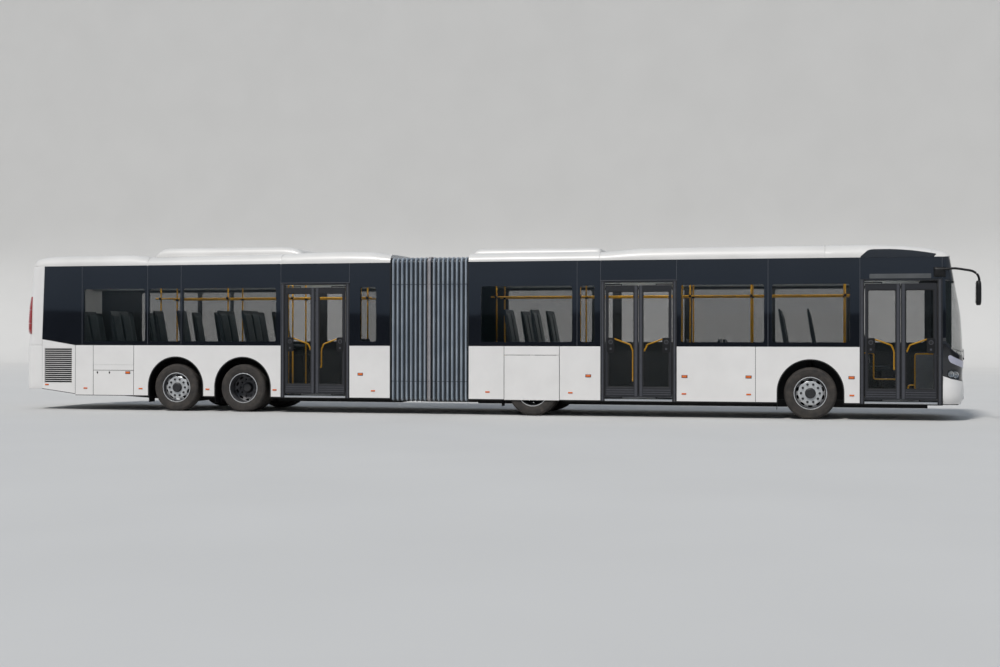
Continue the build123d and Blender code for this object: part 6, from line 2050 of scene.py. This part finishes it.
# %% [markdown]
# ## Seat pads
# A pad is blown up like a real one: a closed cloth with two flat faces is put under pressure in a
# short cloth simulation without gravity, and no point may move more than 9 mm. Three sewn
# channels are pressed in afterwards. One cushion and one back pad are blown, and each seat gets
# a copy of their points.

# %% Blown pads
pad_pressure, pad_frames, swell_cap = 4, 20, 0.009
channel_depth, channel_half = 0.006, 0.012


def blown_pad(length, width, thick, channels):
    """Points and faces of a pad in its own frame: length along u, width along v, crown along w."""
    points, faces = pillow(length / 2 - 0.004, width / 2 - 0.004, thick * 0.55, 17, 8)
    points[len(points) // 2:, 2] = -points[:len(points) // 2, 2] * 0.45
    mesh = bpy.data.meshes.new("pad")
    mesh.from_pydata(points.tolist(), [], faces)
    cleaned = bmesh.new()
    cleaned.from_mesh(mesh)
    bmesh.ops.remove_doubles(cleaned, verts=cleaned.verts, dist=0.0002)
    bmesh.ops.recalc_face_normals(cleaned, faces=cleaned.faces)
    cleaned.to_mesh(mesh)
    cleaned.free()
    made = bpy.data.objects.new("pad", mesh)
    bpy.context.scene.collection.objects.link(made)
    start = np.empty(len(mesh.vertices) * 3)
    mesh.vertices.foreach_get("co", start)
    start = start.reshape(-1, 3)
    blown = start.copy()
    cloth = made.modifiers.new("blow", "CLOTH")
    cloth.settings.use_pressure = True
    cloth.settings.uniform_pressure_force = pad_pressure
    cloth.settings.effector_weights.gravity = 0
    for number in range(1, pad_frames + 1):
        bpy.context.scene.frame_set(number)
    result = made.evaluated_get(bpy.context.evaluated_depsgraph_get()).to_mesh()
    flat = np.empty(len(result.vertices) * 3)
    result.vertices.foreach_get("co", flat)
    blown = flat.reshape(-1, 3)
    bpy.context.scene.frame_set(1)
    move = blown - start
    far = np.linalg.norm(move, axis=1, keepdims=True)
    blown = start + move * np.minimum(1, swell_cap / np.maximum(far, 1e-9))
    from_channel = np.min([np.abs(blown[:, 0] - place) for place in channels], axis=0)
    sink = channel_depth * np.clip(1 - from_channel / channel_half, 0, 1)
    blown[:, 2] -= np.where(blown[:, 2] > 0, sink, 0)
    faces = [list(polygon.vertices) for polygon in mesh.polygons]
    bpy.data.objects.remove(made)
    bpy.data.meshes.remove(mesh)
    print("pad swelled at most", round(float(min(far.max(), swell_cap)) * 1000, 1), "mm")
    return blown, faces


cushion_pad = blown_pad(0.385, 0.372, 0.050, (-0.09, 0.09))
back_pad = blown_pad(0.600, 0.368, 0.046, (-0.15, 0.05, 0.20))

# %% [markdown]
# ## Seats
# A seat is a bent plastic shell on two legs, with the pads glued in. The shell's outline from the
# side is one closed curve carried across the seat's width.

# %% Seats
both = (-1, 1)
box_top_z, deck_z, deck_x = 1.1205, 0.900, -6.943
bench_ends, high_ends = (0.420, 1.205), (0.625, 1.205)
deck_row_x = deck_x - 0.490


def box_rows(axle, y_ends):
    """The two rows on a wheel box, one behind the other."""
    return [(axles[axle] + step, box_top_z, 0.220, y_ends, both) for step in (0.060, -0.460)]


seat_rows = {
    "front": [*box_rows(1, high_ends), *box_rows(2, bench_ends),
              (doors["door_2"] + 0.840, floor_z, 0.430, bench_ends, (1,)),
              (doors["door_2"] + 1.590, floor_z, 0.430, bench_ends, both)],
    "rear": [*box_rows(3, bench_ends), *box_rows(4, high_ends),
             *[(deck_row_x - step, deck_z, 0.430, bench_ends, both) for step in (0, 0.750, 1.500)],
             (door_front["door_3"] + 0.240, floor_z, 0.430, bench_ends, both)],
}
seat_outline = np.array([
    (0.400, -0.080), (0.424, -0.066), (0.430, -0.045), (0.420, -0.034), (0.150, -0.040),
    (0.085, -0.036), (0.052, -0.014), (0.030, 0.060), (-0.020, 0.330), (-0.068, 0.600),
    (-0.082, 0.672), (-0.092, 0.694), (-0.104, 0.699), (-0.116, 0.692), (-0.121, 0.672),
    (-0.112, 0.600), (-0.072, 0.330), (-0.020, 0.030), (0.000, -0.040), (0.030, -0.072),
    (0.080, -0.086), (0.300, -0.088)])
back_way = np.array([-0.120, 0.0, 0.640]) / np.hypot(0.120, 0.640)
back_out = np.array([back_way[2], 0.0, -back_way[0]])


def seat_shapes(x, base_z, cushion_z, y_ends):
    """One seat: its shell, its two legs and its two pads."""
    (y0, y1), middle = y_ends, sum(y_ends) / 2
    loop = seat_outline + (x, cushion_z)
    shells = [layers([(y, loop) for y in np.linspace(*inset(y_ends, 0.006), 4)], 1)]
    for y in (y0 + 0.10, y1 - 0.10):
        leg = [(x + 0.215, y, z) for z in (base_z, base_z + 0.05, cushion_z - 0.085)]
        shells += finished(cast_iron, bar(leg, 0.10, 0.045, (1, 0, 0), 0.012))
    pads = [placed(cushion_pad, (x + 0.235, middle, cushion_z - 0.018), *ground_ways),
            placed(back_pad, np.array([x - 0.004, middle, cushion_z + 0.345]) - back_out * 0.012,
                   back_way, (0, 1, 0), back_out)]
    return shells, pads


for part, rows in seat_rows.items():
    shells, pads = [], []
    for x, base_z, rise, (y0, y1), ways in rows:
        places = [(y0, (y0 + y1) / 2), ((y0 + y1) / 2, y1)] if y1 - y0 > 0.7 else [
            ((y0 + y1) / 2 - 0.20, (y0 + y1) / 2 + 0.20)]
        for way in ways:
            for ends in places:
                found = seat_shapes(x, base_z, base_z + rise, sorted(way * y for y in ends))
                shells += found[0]
                pads += found[1]
    piece(part + "_seat_shells", shells, seat_shell, part + "_section",
          node=part + "_seats")
    soft = piece(part + "_seat_pads", pads, seat_plush, part + "_section", 60)
    print(part, "seats", len(pads) // 2)

# %% [markdown]
# ## Driver's place
# A dash with a hood over the instruments, a raked steering wheel, a wall behind the driver with
# its upper half in glass, and a sprung seat with a head pad.

# %% Driver's place
driver_y, cab_wall_x, dash_x = 0.680, 7.261, nose_seam_x - 0.060
dash_loop = np.array([(0.0, 0.0), (0.262, 0.0), (0.262, 0.640), (0.235, 0.700), (0.150, 0.772),
                      (0.100, 0.779), (0.040, 0.765), (-0.030, 0.735), (-0.045, 0.710),
                      (-0.030, 0.620), (-0.010, 0.560)])
column_tilt, ring_radius, ring_thick = radians(30), 0.216, 0.014
column_way = np.array([-sin(column_tilt), 0.0, cos(column_tilt)])
wheel_flat = np.array([cos(column_tilt), 0.0, sin(column_tilt)])
column_foot = np.array([dash_x, driver_y, 1.020])
wheel_middle = column_foot + column_way * 0.145
ring_turn = np.linspace(0, 2 * np.pi, 48, endpoint=False)[:, None]
tube_turn = np.linspace(0, 2 * np.pi, 10, endpoint=False)[None]
ring_out = (wheel_flat[None] * np.cos(ring_turn) + np.array([[0, 1.0, 0]]) * np.sin(ring_turn))
ring_reach = ring_radius + ring_thick * np.cos(tube_turn)
ring_points = (wheel_middle + ring_out[:, None] * ring_reach[..., None]
               + column_way * (ring_thick * np.sin(tube_turn))[..., None])
dash = dash_loop + (dash_x, floor_z)
cab = [layers([(y, dash) for y in np.linspace(0.172, 1.098, 6)], 1)]
cab += finished(
    black_plastic, grid(ring_points, True, True),
    tube([column_foot - column_way * 0.03, column_foot + column_way * 0.07, wheel_middle], 0.032),
    placed(pillow(0.06, 0.05, 0.022, 9, 3), wheel_middle, wheel_flat, (0, 1, 0), column_way))
for spoke in (np.array([0.0, 1.0, 0.0]), np.array([0.0, -1.0, 0.0]), -wheel_flat):
    line = [wheel_middle + spoke * reach for reach in (0.03, 0.12, 0.208)]
    cab += finished(black_plastic, bar(line, 0.028, 0.010, column_way))
hood = placed(pillow(0.10, 0.21, 0.055, 11, 3), (dash_x + 0.105, driver_y, 1.112),
              (0.97, 0, 0.24), (0, 1, 0), (-0.24, 0, 0.97))
cab += finished(black_plastic, hood)
wall_loop = rectangle((0.182, 1.178), (floor_z, 1.840), 0.05)
light_loop = rectangle((0.240, 1.120), (1.180, 1.780), 0.04)
cab += finished(interior_grey, cross_sheet([wall_loop, light_loop],
                                           (cab_wall_x, cab_wall_x + 0.036)))
cab += finished(window_glass, cross_sheet([light_loop], (cab_wall_x + 0.014, cab_wall_x + 0.020)))
seat_x, seat_z = cab_wall_x + 0.330, floor_z + 0.180
found = seat_shapes(seat_x, seat_z - 0.02, seat_z + 0.430, (driver_y - 0.205, driver_y + 0.205))
cab += [(*shape[:2], shape[2] if len(shape) > 2 else seat_shell) for shape in found[0]]
unit_circle = circle(1.0, 24)
cab += finished(rubber, layers(
    [(z, unit_circle * (wide, 0.18 * wide / 0.15) + (seat_x + 0.210, driver_y))
     for z, wide in ((floor_z, 0.150), (0.40, 0.150), (0.44, 0.10), (0.56, 0.10),
                     (seat_z + 0.04, 0.13))], 2))
piece("driver_place", cab, dash_plastic, "front_section", node="driver_cab")
head_place = (seat_x - 0.118, driver_y, seat_z + 1.030)
head_pad = placed(pillow(0.085, 0.125, 0.040, 13, 3), head_place, back_way, (0, 1, 0), back_out)
soft = piece("driver_seat_pads", [*found[1], head_pad], seat_plush, "front_section", 60)
print("driver's place shapes", len(cab))

# %% [markdown]
# ## Rails and guards
# Bright yellow tubes: uprights from floor to ceiling with a rail beside them, clamps where they
# meet, and by each door a guard of clear sheet in a yellow frame. Behind the front door a framed
# panel and a low rail part the driver from those who get on.

# %% Rails
rail_radius, rail_z, rail_y, long_rail_y, guard_y = 0.016, 2.300, 0.380, 0.4123, 0.720
rail_top_z, low_rail_y = 2.745, 0.13
guard_frame = [(-0.800, 0.535), (-0.752, 0.535), (-0.752, 1.385), (-1.200, 1.385),
               (-1.200, 0.535), (-0.800, 0.535)]
low_rails = [[(8.44, floor_z), (8.44, 1.194), (8.80, 1.194), (8.80, floor_z)],
             [(8.32, floor_z), (8.32, 0.600), (8.44, 0.600)],
             [(7.30, 1.207), (7.683, 1.207), (7.683, 0.711), (8.10, 0.711), (8.10, floor_z)]]
stanchions = {
    "front": [axles[2] - 0.900, axles[2] + 0.780, door_front["door_2"] + 0.180,
              axles[1] - 1.100, axles[1] + 0.640],
    "rear": [door_front["door_3"] + 0.090, door_back["door_3"] - 0.090,
             axles[3] - 0.700, axles[4] - 0.760],
}
guard_step = 0.770
guards = {"front": [doors["door_2"] - guard_step, doors["door_2"] + guard_step,
                    doors["door_1"] - guard_step],
          "rear": [doors["door_3"] - guard_step, doors["door_3"] + guard_step]}


def straight(start, end, side_way=(1, 0, 0)):
    """A straight rail between two points."""
    return tube(np.linspace(start, end, 3), rail_radius, side_way, 14)


for part in ("front", "rear"):
    shapes, places = [], stanchions[part]
    for side in sides.values():
        ends = (min(places) - 0.100, max(places) + 0.100)
        shapes.append(straight((ends[0], side * long_rail_y, rail_z),
                               (ends[1], side * long_rail_y, rail_z), side_way=(0, 1, 0)))
        for x in places:
            shapes.append(straight((x, side * rail_y, floor_z), (x, side * rail_y, rail_top_z)))
            clamp = [(x, side * y, rail_z) for y in (rail_y - 0.022, 0.396, long_rail_y + 0.022)]
            foot = [(floor_z + rise, circle(0.040, 20) * wide + (x, side * rail_y))
                    for rise, wide in ((0, 1.0), (0.006, 1.0), (0.012, 0.6))]
            shapes += finished(black_plastic, bar(clamp, 0.05, 0.05, (0, 0, 1), 0.012),
                               layers(foot, 2))
    for x in guards[part]:
        shapes.append(straight((x, -guard_y, floor_z), (x, -guard_y, rail_top_z)))
        shapes.append(tube(bent([(x, y, z) for y, z in guard_frame], 0.05), 0.011, (1, 0, 0)))
        sheet = rectangle((-1.196, -0.756), (0.539, 1.381), 0.045)
        shapes += finished(window_glass, cross_sheet([sheet], (x - 0.003, x + 0.003)))
    if part == "front":
        for line in low_rails:
            path = bent([(x, low_rail_y, z) for x, z in line], 0.045)
            shapes.append(tube(path, 0.0145, (0, 1, 0)))
        panel = side_sheet([rectangle((8.455, 8.785), (0.420, 1.180), 0.02)], 1, (0.122, 0.134))
        shapes += finished(interior_grey, panel)
        shapes.append(straight((7.30, low_rail_y, floor_z), (7.30, low_rail_y, 1.207)))
    piece(part + "_rails", shapes, yellow_powder, part + "_section",
          node=part + "_handrails")
    print(part, "rail shapes", len(shapes))

# %% [markdown]
# ## Ceiling
# Two light strips run along the ceiling, and air ducts with rounded edges fill the corners above
# the windows, flatter on the right, where the door drives take the room. The strips are opal
# covers that glow a little.

# %% Ceiling
opal, opal_tree, opal_shader, opal_place = new_material(
    "opal_light_cover", {"Roughness": 0.5, "Emission Strength": 8.0})
opal_spots = add(opal_tree, "ShaderNodeTexNoise", {"Scale": 4.0}, {"Vector": opal_place})
opal_tone = ramp(opal_tree, opal_spots.outputs["Fac"],
                 [(0.3, linear("#eef0ee")), (0.7, linear("#f6f7f4"))])
opal_tree.links.new(opal_shader.inputs["Base Color"], opal_tone)
opal_tree.links.new(opal_shader.inputs["Emission Color"], opal_tone)
ceiling_ends = {"front": (0.075, 8.60), "rear": (-9.20, -1.530)}
for part, (x0, x1) in ceiling_ends.items():
    shapes = []
    for side in sides.values():
        section = np.array([(1.222, 2.530), (1.222, 2.752), (0.860, 2.752), (0.860, 2.742),
                            (0.900, 2.720), (1.000, 2.670), (1.090, 2.600), (1.130, 2.545)])
        if side < 0:
            section[[0, 5, 6, 7], 1] = (2.745, 2.715, 2.725, 2.740)
        shapes.append(layers([(x, section * (side, 1)) for x in np.linspace(x0, x1, 4)], 0))
        strip = [(x, side * 0.700, 2.741) for x in np.linspace(x0 + 0.3, x1 - 0.3, 4)]
        shapes += finished(opal, bar(strip, 0.110, 0.024, (0, 1, 0), 0.010))
    piece(part + "_ceiling_ducts", shapes, ceiling_grey, part + "_section")
    print(part, "ducts and light strips", len(shapes))

# %% [markdown]
# ## Under the floor
# The rear floor plate keeps its CAD mesh, but its tail end is raised along the rising skirt, or
# it would hang out below the tail.

# %% Rear floor with a rising end
floor_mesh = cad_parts["rear_floor"].data
floor_points = np.empty(len(floor_mesh.vertices) * 3)
floor_mesh.vertices.foreach_get("co", floor_points)
floor_points = floor_points.reshape(-1, 3)
floor_faces = [list(polygon.vertices) for polygon in floor_mesh.polygons]
low = (floor_points[:, 0] < tail_seam_x + tail_rise) & (floor_points[:, 2] < floor_z + 0.005)
rise = (rear_skirt_z - skirt_z) * (tail_seam_x + tail_rise - floor_points[:, 0]) / tail_rise
floor_points[:, 2] += np.where(low, rise + 0.040, 0.0)
piece("rear_floor_panel", [(floor_points, floor_faces)], floor_finish, "rear_section",
      node="rear_floor")
print("floor points raised", int(low.sum()))

# %% [markdown]
# A painted tray closes the nose from below. Its front edge follows the nose 150 mm inside the
# skin, at the bumper's foot.

# %% Undertray behind the nose
tray_z, tray_back_x, tray_rise = 0.286, 8.20, (0, 0, 0.020)
tray_edge = nose_skin(np.linspace(-0.97, 0.97, 50), tray_z, 0.150)
tray_back = tray_edge * (0, 1, 1) + (tray_back_x, 0, 0)
rows = np.stack([tray_back, tray_edge, tray_edge + tray_rise, tray_back + tray_rise], axis=1)
piece("nose_undertray", [shell(rows)], chassis_paint, "front_section")
print("undertray from x", tray_back_x, "to", round(float(tray_edge[:, 0].max()), 3))

# %% [markdown]
# ## Finishes of the CAD nodes that stay
# Floor plates, wheel boxes, axles, door posts and knuckles show only from below, in a wheel arch
# or through glass. They keep their CAD mesh and get the finish of the real part: chassis paint
# on iron, powder coat on posts, black plastic on boxes.

# %% Finishes for CAD nodes that stay
kept = {
    "front_floor": floor_finish, "front_wheel_boxes": black_plastic,
    "rear_wheel_boxes": black_plastic, "front_pillars": black_plastic,
    "front_axles": chassis_paint, "rear_axles": chassis_paint, "turntable_lower": floor_finish,
    "turntable_upper": floor_finish,
}
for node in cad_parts:
    if node.startswith("knuckle"):
        kept[node] = chassis_paint
    if node.endswith("_post"):
        kept[node] = frame_powder
for node, material in kept.items():
    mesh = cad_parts[node].data
    mesh.materials.clear()
    mesh.materials.append(material)
print(len(kept), "CAD nodes finished")
